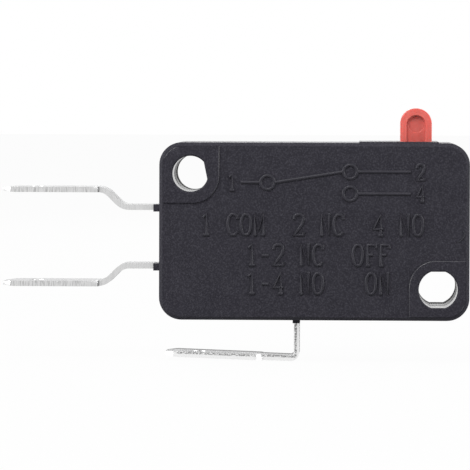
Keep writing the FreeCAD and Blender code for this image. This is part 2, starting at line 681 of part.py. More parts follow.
def make_end_terminal(label, leg, tab, side):
    """One of the two terminals in the left end: leg, joggle, tab and rivet hole."""
    body = new_body(label)
    extrude(body, "strip", "XZ", "-tab_wide / 2", "tab_wide / 2", [joggled_strip(leg, tab, side)])
    leg_z, tab_z, mitre = num(leg), num(tab), num("mitre")
    half = side * num("strip") / 2
    inner = ((num("bend_in") + mitre, leg_z + half), (num("bend_out") - mitre, tab_z - half))
    outer = ((num("bend_in") - mitre, leg_z - half), (num("bend_out") + mitre, tab_z + half))
    soften(body, "inner_bends", "Fillet", "joggle_round - strip / 2",
           lambda edge: runs_along(edge, "Y") and any(near(edge, *spot, TOUCH) for spot in inner))
    soften(body, "outer_bends", "Fillet", "joggle_round + strip / 2",
           lambda edge: runs_along(edge, "Y") and any(near(edge, *spot, TOUCH) for spot in outer))
    beyond = "tab_wide"
    necks = mirror_y(lambda s: polygon([
        ("neck_x", f"{s} * leg_wide / 2"), ("neck_x - shoulder", f"{s} * tab_wide / 2"),
        ("neck_x - shoulder", f"{s} * {beyond}"), ("tail_x + wall", f"{s} * {beyond}"),
        ("tail_x + wall", f"{s} * leg_wide / 2")]))
    extrude(body, "neck", "XY", "pivot_z - tab_pitch", "pivot_z + tab_pitch", necks, cut=True)
    tip_corners(body, "tip_x", "pivot_z - tab_pitch", "pivot_z + tab_pitch")
    extrude(body, "tab_hole", "XY", "pivot_z - tab_pitch", "pivot_z + tab_pitch",
            [disc("tip_x + tab_hole_back", "0", "tab_hole_r")], cut=True)
    extrude(body, "rivet_hole", "XY", "pivot_z - tab_pitch", "pivot_z + tab_pitch",
            [disc("head_x", "0", "shank_r + fit_gap")], cut=True)
    return body


def tip_corners(body, tip, low, high):
    """Corners taken off the end of a tab, seen from above."""
    corners = mirror_y(lambda s: polygon([
        (f"{tip} - wall", f"{s} * tab_wide / 2 - {s} * tip_corner"),
        (tip, f"{s} * tab_wide / 2 - {s} * tip_corner"),
        (f"{tip} + tip_corner", f"{s} * tab_wide / 2"),
        (f"{tip} + tip_corner", f"{s} * tab_wide"), (f"{tip} - wall", f"{s} * tab_wide")]))
    extrude(body, "tip_corners", "XY", low, high, corners, cut=True)


def make_com_terminal():
    """Common terminal: bent tab below the case and a forked post that holds the arm's pivot."""
    body = new_body("com_terminal")
    rise_in = "com_slope * (com_x - strip / 2 - com_tip)"
    rise_out = "com_slope * (com_x + strip / 2 - com_tip)"
    taper_in = "com_slope * (com_x - strip / 2 - com_tip - tip_taper)"
    taper_out = "com_slope * (com_x + strip / 2 - com_tip - tip_taper)"
    thinned = "(strip - tip_thin) / 2"
    outline = polygon([
        ("fork_face", "pivot_z + post_top"), ("fork_face", "com_inside_z"),
        ("com_tip + tip_taper", f"com_inside_z + {taper_in}"),
        ("com_tip", f"com_inside_z + {rise_in} - {thinned}"),
        ("com_tip", f"com_outside_z + {rise_out} + {thinned}"),
        ("com_tip + tip_taper", f"com_outside_z + {taper_out}"),
        ("com_x + strip / 2", "com_outside_z"), ("com_x + strip / 2", "pivot_z + post_top")])
    extrude(body, "strip", "XZ", "-tab_wide / 2", "tab_wide / 2", [outline])
    soften(body, "inner_bend", "Fillet", "com_bend - strip / 2",
           lambda edge: runs_along(edge, "Y")
           and near(edge, num("fork_face"), num("com_inside_z"), TOUCH))
    soften(body, "outer_bend", "Fillet", "com_bend + strip / 2",
           lambda edge: runs_along(edge, "Y")
           and near(edge, num("com_x") + num("strip") / 2, num("com_outside_z"), TOUCH))
    necks = mirror_y(lambda s: polygon([
        ("com_x - com_neck", f"{s} * leg_wide / 2"),
        ("com_x - com_neck - shoulder", f"{s} * tab_wide / 2"),
        ("com_x - com_neck - shoulder", f"{s} * tab_wide"), ("com_x + wall", f"{s} * tab_wide"),
        ("com_x + wall", f"{s} * leg_wide / 2")]))
    extrude(body, "neck", "XY", "com_z - wall", "pivot_z + post_top + wall", necks, cut=True)
    tip_corners(body, "com_tip", "com_z - wall", "bottom")
    extrude(body, "tab_hole", "XY", "com_z - wall", "bottom",
            [disc("com_tip + tab_hole_back", "0", "tab_hole_r")], cut=True)
    extrude(body, "fork", "YZ", "com_x - wall", "com_x + wall",
            [box("-arm_slot / 2", "arm_slot / 2", "pivot_z - fork_drop", "pivot_z + post_top + wall")],
            cut=True)
    extrude(body, "pivot_notch", "XZ", "-leg_wide", "leg_wide",
            [polygon([("fork_face - wall", "pivot_z - notch_high * (1 + wall / notch_deep)"),
                      ("fork_face + notch_deep", "pivot_z"),
                      ("fork_face - wall", "pivot_z + notch_high * (1 + wall / notch_deep)")])],
            cut=True)
    return body


def make_fixed_contact(label, leg, side):
    """Contact rivet through an end terminal; side is 1 where its face looks up."""
    body = new_body(label)
    surface = f"{leg} + {side} * strip / 2"
    face = f"{surface} + {side} * contact_high"
    under = f"{leg} - {side} * strip / 2"
    tail = f"{under} - {side} * tail_high"
    revolve(body, "rivet", "head_x", polygon([
        ("0", face), ("contact_r - contact_bevel", face),
        ("contact_r", f"{face} - {side} * contact_bevel"), ("contact_r", surface),
        ("shank_r", surface), ("shank_r", under), ("tail_r", under),
        ("tail_r", f"{under} - {side} * tail_high / 2"), ("tail_r - tail_high / 2", tail),
        ("0", tail)]))
    return body


def arm_rest():
    """Placement of the contact arm and its rivet, tipped up against the upper contact."""
    swing = math.asin(num("contact_gap") / 2 / (num("pivot_x") - num("head_x")))
    turn = FreeCAD.Rotation(V(0, 1, 0), math.degrees(swing))
    return FreeCAD.Placement(V(0, 0, 0), turn, V(num("pivot_x"), 0, num("pivot_z")))


def make_contact_arm():
    """Flat arm with two knife-edged legs, a slot for the spring and its hook hole."""
    body = new_body("contact_arm")
    edge_back = "pivot_x - arm_thick / 2"
    blade = polygon([
        ("head_x - arm_tail", "pivot_z - arm_thick / 2"), (edge_back, "pivot_z - arm_thick / 2"),
        ("pivot_x", "pivot_z"), (edge_back, "pivot_z + arm_thick / 2"),
        ("head_x - arm_tail", "pivot_z + arm_thick / 2")])
    extrude(body, "blade", "XZ", "-arm_wide / 2", "arm_wide / 2", [blade])
    soften(body, "free_end", "Fillet", "arm_wide / 4",
           lambda edge: runs_along(edge, "Z") and middle(edge).x < num("head_x"))
    through = ("pivot_z - arm_thick", "pivot_z + arm_thick")
    extrude(body, "slot", "XY", *through,
            [box("slot_end_x", "pivot_x + wall", "-arm_slot / 2", "arm_slot / 2")], cut=True)
    extrude(body, "hook_hole", "XY", *through,
            [disc("arm_hook_x", "0", "hook_hole_r")], cut=True)
    extrude(body, "rivet_hole", "XY", *through,
            [disc("head_x", "0", "shank_r + fit_gap")], cut=True)
    body.Placement = arm_rest()
    return body


def make_moving_contact():
    """Double-headed contact rivet in the arm."""
    body = new_body("moving_contact")
    revolve(body, "rivet", "head_x", polygon([
        ("0", "pivot_z + moving_half"), ("moving_flat_r", "pivot_z + moving_half"),
        ("moving_r", "pivot_z + moving_half - moving_crown"), ("moving_r", "pivot_z + arm_thick / 2"),
        ("shank_r", "pivot_z + arm_thick / 2"), ("shank_r", "pivot_z - arm_thick / 2"),
        ("moving_r", "pivot_z - arm_thick / 2"),
        ("moving_r", "pivot_z - moving_half + moving_crown"),
        ("moving_flat_r", "pivot_z - moving_half"), ("0", "pivot_z - moving_half")]))
    body.Placement = arm_rest()
    return body


def make_rocker():
    """Sheet-metal rocker: two cheeks on the pin, an upright web and the plunger's pad."""
    body = new_body("rocker")
    wide = ("-cheek_out", "cheek_out")
    pad_left, pad_right = "plunger_x - rocker_pad_half", "plunger_x + rocker_pad_half"
    pad_under = "pad_top - rocker_sheet"
    web = polygon([
        ("web_left", "pivot_z - web_low"), ("web_left", "pivot_z + web_bend"),
        (pad_left, "pad_top"), (pad_right, "pad_top"), (pad_right, pad_under),
        (pad_left, pad_under), ("web_right", "pivot_z + web_bend - rocker_sheet / 2"),
        ("web_right", "pivot_z - web_low")])
    extrude(body, "web", "XZ", *wide, [web])
    cheek = polygon([
        ("rocker_pin_x", "rocker_pin_z + rocker_eye"), ("web_left", "pivot_z + rocker_eye"),
        ("web_left", "pivot_z + web_bend"), (pad_left, "pad_top"), ("plunger_x", "pad_top"),
        ("plunger_x", pad_under), (pad_left, "pad_top - 2 * rocker_sheet"),
        ("web_right + rocker_eye", "pivot_z - web_low - rocker_eye"),
        ("rocker_pin_x", "rocker_pin_z - rocker_eye")])
    eye = disc("rocker_pin_x", "rocker_pin_z", "rocker_eye")
    for name, low, high in (("front_cheek", "-cheek_out", "-cheek_in"),
                            ("back_cheek", "cheek_in", "cheek_out")):
        extrude(body, name, "XZ", low, high, [cheek])
        extrude(body, name + "_eye", "XZ", low, high, [eye])
    extrude(body, "pin_holes", "XZ", *wide,
            [disc("rocker_pin_x", "rocker_pin_z", "pin_r + pin_running")], cut=True)
    extrude(body, "hook_hole", "YZ", "web_left - wall", "web_right + wall",
            [disc("0", "anchor_z", "hook_hole_r")], cut=True)
    return body


def make_rocker_pin():
    body = new_body("rocker_pin")
    extrude(body, "pin", "XZ", "-pin_boss - pin_seat", "pin_boss + pin_seat",
            [disc("rocker_pin_x", "rocker_pin_z", "pin_r")])
    soften(body, "ends", "Chamfer", "pin_r / 5",
           lambda edge: abs(edge.BoundBox.YLength) < TOUCH)
    return body


def spring_path():
    """Points down the middle of the spring wire: hook, coil and hook in one run.

    The wire comes up through the arm's hole, bends over to the coil's top, winds round and
    leaves the top again for the rocker's hole, behind which it bends down.
    """
    coil_r, bend = num("coil_r"), num("hook_round")
    tilt = arm_rest()
    low_hole = tilt.multVec(V(num("arm_hook_x"), 0, num("pivot_z")))
    start_top = low_hole.z + num("arm_thick") / 2 + 3 * num("wire_r")
    end_top = num("anchor_z")
    hook_end = num("web_right") + num("fit_gap") + num("wire_r") + bend
    coil_start, coil_end = num("slot_end_x") + 2 * bend, num("web_left") - 2 * bend
    quarter = [math.radians(angle) for angle in (0, 30, 60, 90)]

    points = [V(low_hole.x, 0, start_top - bend - num("hook_down"))]
    points += [V(low_hole.x + bend - bend * math.cos(a), 0, start_top - bend + bend * math.sin(a))
               for a in quarter]
    length, whole, lead = coil_end - coil_start, 2 * math.pi * num("coil_turns"), bend / coil_r
    steps = int(num("coil_turns") * TURN_STEPS)
    wound = [(bend * math.sin(a), lead * (1 - math.cos(a))) for a in quarter]
    wound += [(bend + i / steps * (length - 2 * bend), lead + i / steps * (whole - 2 * lead))
              for i in range(1, steps)]
    wound += [(length - bend * math.sin(a), whole - lead * (1 - math.cos(a)))
              for a in reversed(quarter)]
    for along, angle in wound:
        top = start_top + along / length * (end_top - start_top)
        points.append(V(coil_start + along, coil_r * math.sin(angle),
                        top - coil_r + coil_r * math.cos(angle)))
    points += [V(hook_end - bend + bend * math.sin(a), 0, end_top - bend + bend * math.cos(a))
               for a in quarter]
    points.append(V(hook_end, 0, end_top - bend - num("hook_down")))
    return points


def wire_solid(points, radius):
    """Many-sided wire through the points, mitred at each, with flat ends."""
    runs = [(following - spot).normalize() for spot, following in zip(points, points[1:])]
    side = runs[0].cross(V(0, 1, 0)).normalize()
    other = runs[0].cross(side)
    turns = [2 * math.pi * i / WIRE_SIDES for i in range(WIRE_SIDES)]
    ring = [points[0] + (side * math.cos(a) + other * math.sin(a)) * radius for a in turns]
    rings = [ring]
    for i, run in enumerate(runs):
        across = run + runs[i + 1] if i + 1 < len(runs) else run
        ring = [spot + run * ((points[i + 1] - spot).dot(across) / run.dot(across))
                for spot in ring]
        rings.append(ring)
    faces = [Part.Face(Part.makePolygon(end + end[:1])) for end in (rings[0], rings[-1])]
    for ring, following in zip(rings, rings[1:]):
        for i in range(WIRE_SIDES):
            j = (i + 1) % WIRE_SIDES
            corners = [ring[i], ring[j], following[j], following[i], ring[i]]
            faces.append(Part.Face(Part.makePolygon(corners)))
    shell = Part.Shell(faces)
    shell.sewShape()
    solid = Part.Solid(shell)
    if solid.Volume < 0:
        solid.reverse()
    return solid


def make_snap_spring():
    """Tension coil spring with a hook at each end."""
    feature = doc.addObject("Part::Feature", "snap_spring")
    feature.Label = "snap_spring"
    feature.Shape = wire_solid(spring_path(), num("wire_r"))
    return feature


def volume_steps(body):
    """Shape features of a body in order, each with its volume so far."""
    return [(item, item.Shape.Volume) for item in body.Group
            if item.isDerivedFrom("PartDesign::Feature") and not item.Shape.isNull()]


def check_parts(parts):
    """Stop if anything failed, is not one valid solid, or if a cut takes nothing away."""
    for item in doc.Objects:
        if "Invalid" in item.State or "Error" in item.State:
            raise RuntimeError(f"{item.Name} failed: {item.State}")
    for part in parts:
        shape = part.Shape
        if shape.isNull() or not shape.isValid() or len(shape.Solids) != 1:
            raise RuntimeError(f"{part.Label}: not one valid solid")
        if not part.isDerivedFrom("PartDesign::Body"):
            continue
        before = 0.0
        for item, volume in volume_steps(part):
            cuts = item.TypeId in ("PartDesign::Pocket", "PartDesign::Chamfer")
            if (cuts and volume > before - 1e-6) or (not cuts and volume == before):
                raise RuntimeError(f"{part.Label}: {item.Name} changes nothing")
            before = volume


def main():
    fill_sheet()
    parts = [
        make_case(),
        make_cover(),
        make_plunger(),
        make_end_terminal("nc_terminal", "nc_leg_z", "nc_tab_z", 1),
        make_end_terminal("no_terminal", "no_leg_z", "no_tab_z", -1),
        make_com_terminal(),
        make_fixed_contact("nc_contact", "nc_leg_z", -1),
        make_fixed_contact("no_contact", "no_leg_z", 1),
        make_contact_arm(),
        make_moving_contact(),
        make_rocker(),
        make_rocker_pin(),
        make_snap_spring(),
    ]
    doc.recompute()
    check_parts(parts)
    os.makedirs("parts", exist_ok=True)
    for part in parts:
        part.Shape.exportStep(f"parts/{part.Label}.step")


main()
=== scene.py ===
"""Looks of a miniature snap-action switch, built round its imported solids.

Everything is in metres in the part's own frame: X runs along the case, Z points the way the
plunger stands out, and the cover looks towards -Y. Sizes are written in millimetres and turned
into metres where they meet Blender.
"""

import logging
import math
from collections.abc import Callable
from dataclasses import dataclass
from enum import Enum

import bmesh
import bpy
from mathutils import Matrix, Vector


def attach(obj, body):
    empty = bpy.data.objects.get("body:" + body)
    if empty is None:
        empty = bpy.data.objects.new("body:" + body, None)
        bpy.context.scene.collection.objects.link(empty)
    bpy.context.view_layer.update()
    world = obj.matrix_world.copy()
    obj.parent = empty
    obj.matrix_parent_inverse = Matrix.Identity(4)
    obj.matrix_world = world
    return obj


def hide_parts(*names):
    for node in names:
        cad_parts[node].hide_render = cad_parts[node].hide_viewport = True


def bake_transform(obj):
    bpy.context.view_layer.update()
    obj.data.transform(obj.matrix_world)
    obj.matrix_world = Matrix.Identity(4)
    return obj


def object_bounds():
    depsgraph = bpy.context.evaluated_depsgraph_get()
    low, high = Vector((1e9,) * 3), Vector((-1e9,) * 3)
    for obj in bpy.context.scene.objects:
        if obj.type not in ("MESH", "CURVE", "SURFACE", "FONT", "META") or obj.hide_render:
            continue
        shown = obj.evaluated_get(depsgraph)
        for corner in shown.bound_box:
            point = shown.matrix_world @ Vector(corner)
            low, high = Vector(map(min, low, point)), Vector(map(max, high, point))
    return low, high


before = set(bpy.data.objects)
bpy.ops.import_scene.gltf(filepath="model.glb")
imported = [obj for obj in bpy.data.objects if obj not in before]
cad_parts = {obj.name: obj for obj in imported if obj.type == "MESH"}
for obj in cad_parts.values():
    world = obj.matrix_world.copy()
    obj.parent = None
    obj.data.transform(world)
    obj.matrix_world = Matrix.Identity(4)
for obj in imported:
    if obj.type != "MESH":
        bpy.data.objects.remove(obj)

CAD_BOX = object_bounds()
MM = 0.001

# Corners of a solid's mesh that lie closer are joined, and so are faces that meet flatter.
WELD_MM = 0.002
FLAT_DEGREES = 0.6
# A face whose normal keeps below this along Y is a wall.
WALL_SLOPE = 0.5
# Steps of a quarter turn round a stroke or wire.
WIRE_STEPS = 3
# Parts of a noise's run over which patches, grit and roughness come in.
PATCH_RUN = (0.35, 0.65)
GRIT_RUN = (0.46, 0.72)
GRAIN_RUN = (0.3, 0.7)
NOISE_DETAIL = 4.0
NOISE_ROUGHNESS = 0.6
# How far a face turns away while its gloss goes from the square-on to the grazing one.
FACING_BLEND = 0.5
GRAZING_RUN = (0.3, 0.95)
# Share of the light that a clear plastic scatters inside, and how far each colour gets.
CLEAR_SHARE = 0.35
CLEAR_COLOURS = (1.0, 0.3, 0.25)
WHITE = "#FFFFFF"
# Sockets of the mix node, which gives several the same name: two numbers, and two colours with
# their result.
NUMBER_A, NUMBER_B = 2, 3
COLOUR_A, COLOUR_B, MIXED_COLOUR = 6, 7, 2

log = logging.getLogger("switch")


def srgb(code: str) -> tuple[float, float, float, float]:
    """Turn an sRGB hex colour into linear light.

    Args:
        code: Colour as "#RRGGBB".

    Returns:
        Linear red, green, blue and an alpha of 1.
    """
    parts = [int(code[i:i + 2], 16) / 255 for i in (1, 3, 5)]
    light = [c / 12.92 if c <= 0.04045 else ((c + 0.055) / 1.055) ** 2.4 for c in parts]
    return (light[0], light[1], light[2], 1.0)


def per_metre(size_mm: float) -> float:
    """Texture scale at which one feature measures size_mm."""
    return 1.0 / (size_mm * MM)


def point(x_mm: float, y_mm: float, z_mm: float) -> Vector:
    """Point of the part's frame, in metres, from millimetres."""
    return Vector((x_mm, y_mm, z_mm)) * MM


def add_node(tree: bpy.types.NodeTree, kind: str,
             inputs: dict[str | int, object] | tuple[object, ...] = (),
             **settings: object) -> bpy.types.Node:
    """Add a node with its settings, input values and links.

    Args:
        tree: Node tree that takes the node.
        kind: Blender's name for the node type.
        inputs: Value of each input, or the socket that feeds it: in order, or by name or index.
        **settings: Properties of the node itself.

    Returns:
        The new node.
    """
    node = tree.nodes.new(kind)
    for name, setting in settings.items():
        setattr(node, name, setting)
    for key, source in inputs.items() if isinstance(inputs, dict) else enumerate(inputs):
        if isinstance(source, bpy.types.NodeSocket):
            tree.links.new(source, node.inputs[key])
        else:
            node.inputs[key].default_value = source
    return node


class Lay(Enum):
    """Which way a finish's grain runs: how fast it changes along X, Y and Z."""

    EVEN = (1.0, 1.0, 1.0)
    ALONG_STRIP = (0.08, 1.0, 1.0)
    ACROSS_EDGE = (1.0, 0.1, 0.12)
    ROUND_WIRE = (1.0, 0.35, 0.35)


class Row(Enum):
    """Rows of raised marks on the cover: left end, foot, height and sign width in mm."""

    COMMON_END = (-18.8, 8.85, 1.4, 0.66)
    UPPER_END = (-1.95, 9.8, 1.4, 0.66)
    LOWER_END = (-1.95, 7.9, 1.4, 0.66)
    NAMES = (-21.2, 4.85, 1.85, 0.87)
    CLOSED_PAIR = (-17.1, 2.15, 1.85, 0.87)
    OPEN_PAIR = (-17.1, -0.4, 1.85, 0.87)


@dataclass(frozen=True)
class Finish:
    """A surface, from what it is made of and the real size of its grain.

    Grain that is too fine for the render is drawn as coarse as it needs to be to show.
    """

    name: str
    base: str
    patch: str
    grit: str
    roughness: tuple[float, float]
    grain_mm: float
    depth_mm: float
    patch_mm: float
    grit_share: float = 0.4
    metallic: float = 1.0
    ior: float = 1.5
    gloss: float = 0.5
    grazing_gloss: float = 0.5
    edge_tint: str = WHITE
    clear_mm: float = 0.0
    lay: Lay = Lay.EVEN

    def material(self) -> bpy.types.Material:
        """Build the node material.

        Returns:
            The material, ready for any piece of this finish.
        """
        material = bpy.data.materials.new(self.name)
        material.use_nodes = True
        tree = material.node_tree
        tree.nodes.clear()
        grain = self.noise(tree, self.grain_mm, self.lay)
        patches = self.noise(tree, self.patch_mm, self.lay)
        patchy = add_node(tree, "ShaderNodeMapRange", (patches, *PATCH_RUN)).outputs[0]
        body = add_node(tree, "ShaderNodeMix",
                        {0: patchy, COLOUR_A: srgb(self.base), COLOUR_B: srgb(self.patch)},
                        data_type="RGBA").outputs[MIXED_COLOUR]
        gritty = add_node(tree, "ShaderNodeMapRange",
                          (grain, *GRIT_RUN, 0.0, self.grit_share)).outputs[0]
        colour = add_node(tree, "ShaderNodeMix",
                          {0: gritty, COLOUR_A: body, COLOUR_B: srgb(self.grit)},
                          data_type="RGBA").outputs[MIXED_COLOUR]
        rough = add_node(tree, "ShaderNodeMapRange",
                         (grain, *GRAIN_RUN, *self.roughness)).outputs[0]
        colour, rough = self.worked(tree, colour, rough)
        bump = add_node(tree, "ShaderNodeBump", {"Strength": 1.0, "Height": grain,
                                                 "Distance": self.depth_mm * MM}).outputs[0]
        inputs = {"Base Color": colour, "Roughness": rough, "Normal": bump,
                  "Metallic": self.metallic, "Specular IOR Level": self.gloss,
                  "Specular Tint": srgb(self.edge_tint)}
        if self.metallic == 0.0:
            inputs["IOR"] = self.ior
        if self.clear_mm > 0.0:
            inputs |= {"Subsurface Weight": CLEAR_SHARE,
                       "Subsurface Scale": self.clear_mm * MM,
                       "Subsurface Radius": CLEAR_COLOURS}
        shader = add_node(tree, "ShaderNodeBsdfPrincipled", inputs)
        for name, socket in (self.glossed(tree) | self.tinted(tree)).items():
            tree.links.new(socket, shader.inputs[name])
        add_node(tree, "ShaderNodeOutputMaterial", {"Surface": shader.outputs["BSDF"]})
        return material

    def glossed(self, tree: bpy.types.NodeTree) -> dict[str, bpy.types.NodeSocket]:
        """Let the gloss change as the surface turns away, where it does.

        Args:
            tree: Node tree that takes the nodes.

        Returns:
            The gloss's socket, by the name of the shader's own socket, or nothing.
        """
        if self.grazing_gloss == self.gloss:
            return {}
        facing = add_node(tree, "ShaderNodeLayerWeight", {"Blend": FACING_BLEND})
        gloss = add_node(tree, "ShaderNodeMapRange", (facing.outputs["Facing"], *GRAZING_RUN,
                                                      self.gloss, self.grazing_gloss))
        return {"Specular IOR Level": gloss.outputs[0]}

    def noise(self, tree: bpy.types.NodeTree, size_mm: float,
              lay: Lay) -> bpy.types.NodeSocket:
        """Add noise of a real size.

        Args:
            tree: Node tree that takes the nodes.
            size_mm: Size of the noise's features.
            lay: Way in which they are stretched.

        Returns:
            The noise's socket, from 0 to 1.
        """
        where = add_node(tree, "ShaderNodeTexCoord").outputs["Object"]
        place = add_node(tree, "ShaderNodeMapping", {"Vector": where, "Scale": lay.value})
        return add_node(tree, "ShaderNodeTexNoise",
                        {"Vector": place.outputs["Vector"], "Scale": per_metre(size_mm),
                         "Detail": NOISE_DETAIL, "Roughness": NOISE_ROUGHNESS}).outputs["Fac"]

    def worked(self, tree: bpy.types.NodeTree, colour: bpy.types.NodeSocket,
               rough: bpy.types.NodeSocket) -> tuple[bpy.types.NodeSocket, bpy.types.NodeSocket]:
        """Colour and roughness after later work on the surface, here none."""
        return colour, rough

    def tinted(self, tree: bpy.types.NodeTree) -> dict[str, bpy.types.NodeSocket]:
        """Socket for a tint at low angles that changes over the piece, here none."""
        return {}


@dataclass(frozen=True)
class BoreWall(Finish):
    """Wall of a bore: bright where the cover's pin was polished, duller down to the far rim."""

    bright_to_mm: float = -1.9
    dull_to_mm: float = 2.2
    bright_fade_mm: float = 0.2
    dull_fade_mm: float = 0.3
    steps: tuple[float, float, float] = (0.16, 0.42, 0.95)

    def worked(self, tree: bpy.types.NodeTree, colour: bpy.types.NodeSocket,
               rough: bpy.types.NodeSocket) -> tuple[bpy.types.NodeSocket, bpy.types.NodeSocket]:
        """Make the wall rougher in two steps down the bore.

        Args:
            tree: Node tree that takes the nodes.
            colour: Colour of the wall.
            rough: Roughness of the wall, which the steps replace.

        Returns:
            Colour and roughness with the steps laid in.
        """
        where = add_node(tree, "ShaderNodeTexCoord").outputs["Object"]
        deep = add_node(tree, "ShaderNodeSeparateXYZ", (where,)).outputs["Y"]
        front, middle, back = self.steps
        first = add_node(tree, "ShaderNodeMapRange",
                         (deep, (self.bright_to_mm - self.bright_fade_mm) * MM,
                          (self.bright_to_mm + self.bright_fade_mm) * MM, front, middle))
        second = add_node(tree, "ShaderNodeMapRange",
                          (deep, (self.dull_to_mm - self.dull_fade_mm) * MM,
                           (self.dull_to_mm + self.dull_fade_mm) * MM, 0.0, back - middle))
        both = add_node(tree, "ShaderNodeMath", (first.outputs[0], second.outputs[0]),
                        operation="ADD")
        return colour, both.outputs[0]


@dataclass(frozen=True)
class ShearedStrip(Finish):
    """Plated strip whose cut edges show the shear's marks across the thickness."""

    edge: str = "#CECECE"
    torn: str = "#6C6C6C"
    burnished: str = "#DADADA"
    stroke_mm: float = 0.12
    stroke_lay: Lay = Lay.ACROSS_EDGE
    strokes: tuple[float, float] = (0.46, 0.64)
    tab_start_mm: float = -31.4
    tab_fade_mm: float = 0.2
    torn_share: float = 0.66
    leg_share: float = 0.2
    edge_facing: tuple[float, float] = (0.1, 0.3)
    torn_facing: tuple[float, float] = (0.93, 0.99)
    burnished_facing: tuple[float, float] = (0.96, 0.985)
    edge_roughness: tuple[float, float] = (0.34, 0.62)

    def worked(self, tree: bpy.types.NodeTree, colour: bpy.types.NodeSocket,
               rough: bpy.types.NodeSocket) -> tuple[bpy.types.NodeSocket, bpy.types.NodeSocket]:
        """Lay the sheared edge over the faces that look along Y.

        Args:
            tree: Node tree that takes the nodes.
            colour: Colour of the plated face.
            rough: Roughness of the plated face.

        Returns:
            Colour and roughness with the edge laid in.
        """
        where = add_node(tree, "ShaderNodeTexCoord").outputs
        facing = add_node(tree, "ShaderNodeSeparateXYZ", (where["Normal"],))
        spot = add_node(tree, "ShaderNodeSeparateXYZ", (where["Object"],))
        square_on = add_node(tree, "ShaderNodeMath", (facing.outputs["Y"],),
                             operation="ABSOLUTE").outputs[0]
        on_edge, on_tear, on_burnish = (
            add_node(tree, "ShaderNodeMapRange", (square_on, *run)).outputs[0]
            for run in (self.edge_facing, self.torn_facing, self.burnished_facing))
        marks = add_node(tree, "ShaderNodeMapRange",
                         (self.noise(tree, self.stroke_mm, self.stroke_lay), *self.strokes))
        torn = add_node(tree, "ShaderNodeMath", (self.torn_zone(tree, spot), on_tear),
                        operation="MULTIPLY")
        depth = add_node(tree, "ShaderNodeMath", (marks.outputs[0], torn.outputs[0]),
                         operation="MULTIPLY").outputs[0]
        plain = add_node(tree, "ShaderNodeMix",
                         {0: on_burnish, COLOUR_A: srgb(self.burnished),
                          COLOUR_B: srgb(self.edge)}, data_type="RGBA").outputs[MIXED_COLOUR]
        cut = add_node(tree, "ShaderNodeMix",
                       {0: depth, COLOUR_A: plain, COLOUR_B: srgb(self.torn)},
                       data_type="RGBA").outputs[MIXED_COLOUR]
        rougher = add_node(tree, "ShaderNodeMapRange",
                           (depth, 0.0, 1.0, *self.edge_roughness)).outputs[0]
        mixed = add_node(tree, "ShaderNodeMix",
                         {0: on_edge, NUMBER_A: rough, NUMBER_B: rougher}, data_type="FLOAT")
        shown = add_node(tree, "ShaderNodeMix",
                         {0: on_edge, COLOUR_A: self.plated(tree, spot, colour),
                          COLOUR_B: cut}, data_type="RGBA")
        return shown.outputs[MIXED_COLOUR], mixed.outputs[0]

    def plated(self, tree: bpy.types.NodeTree, spot: bpy.types.Node,
               colour: bpy.types.NodeSocket) -> bpy.types.NodeSocket:
        """Colour of the broad faces, here as plated."""
        return colour

    def torn_zone(self, tree: bpy.types.NodeTree,
                  spot: bpy.types.Node) -> bpy.types.NodeSocket:
        """Where the shear tore the edge: on the wide tab, hardly on the narrow leg.

        Args:
            tree: Node tree that takes the nodes.
            spot: Node that gives the place's coordinates.

        Returns:
            Socket that is higher where the edge is torn more.
        """
        return add_node(tree, "ShaderNodeMapRange",
                        (spot.outputs["X"], (self.tab_start_mm + self.tab_fade_mm) * MM,
                         (self.tab_start_mm - self.tab_fade_mm) * MM, self.leg_share,
                         self.torn_share)).outputs[0]


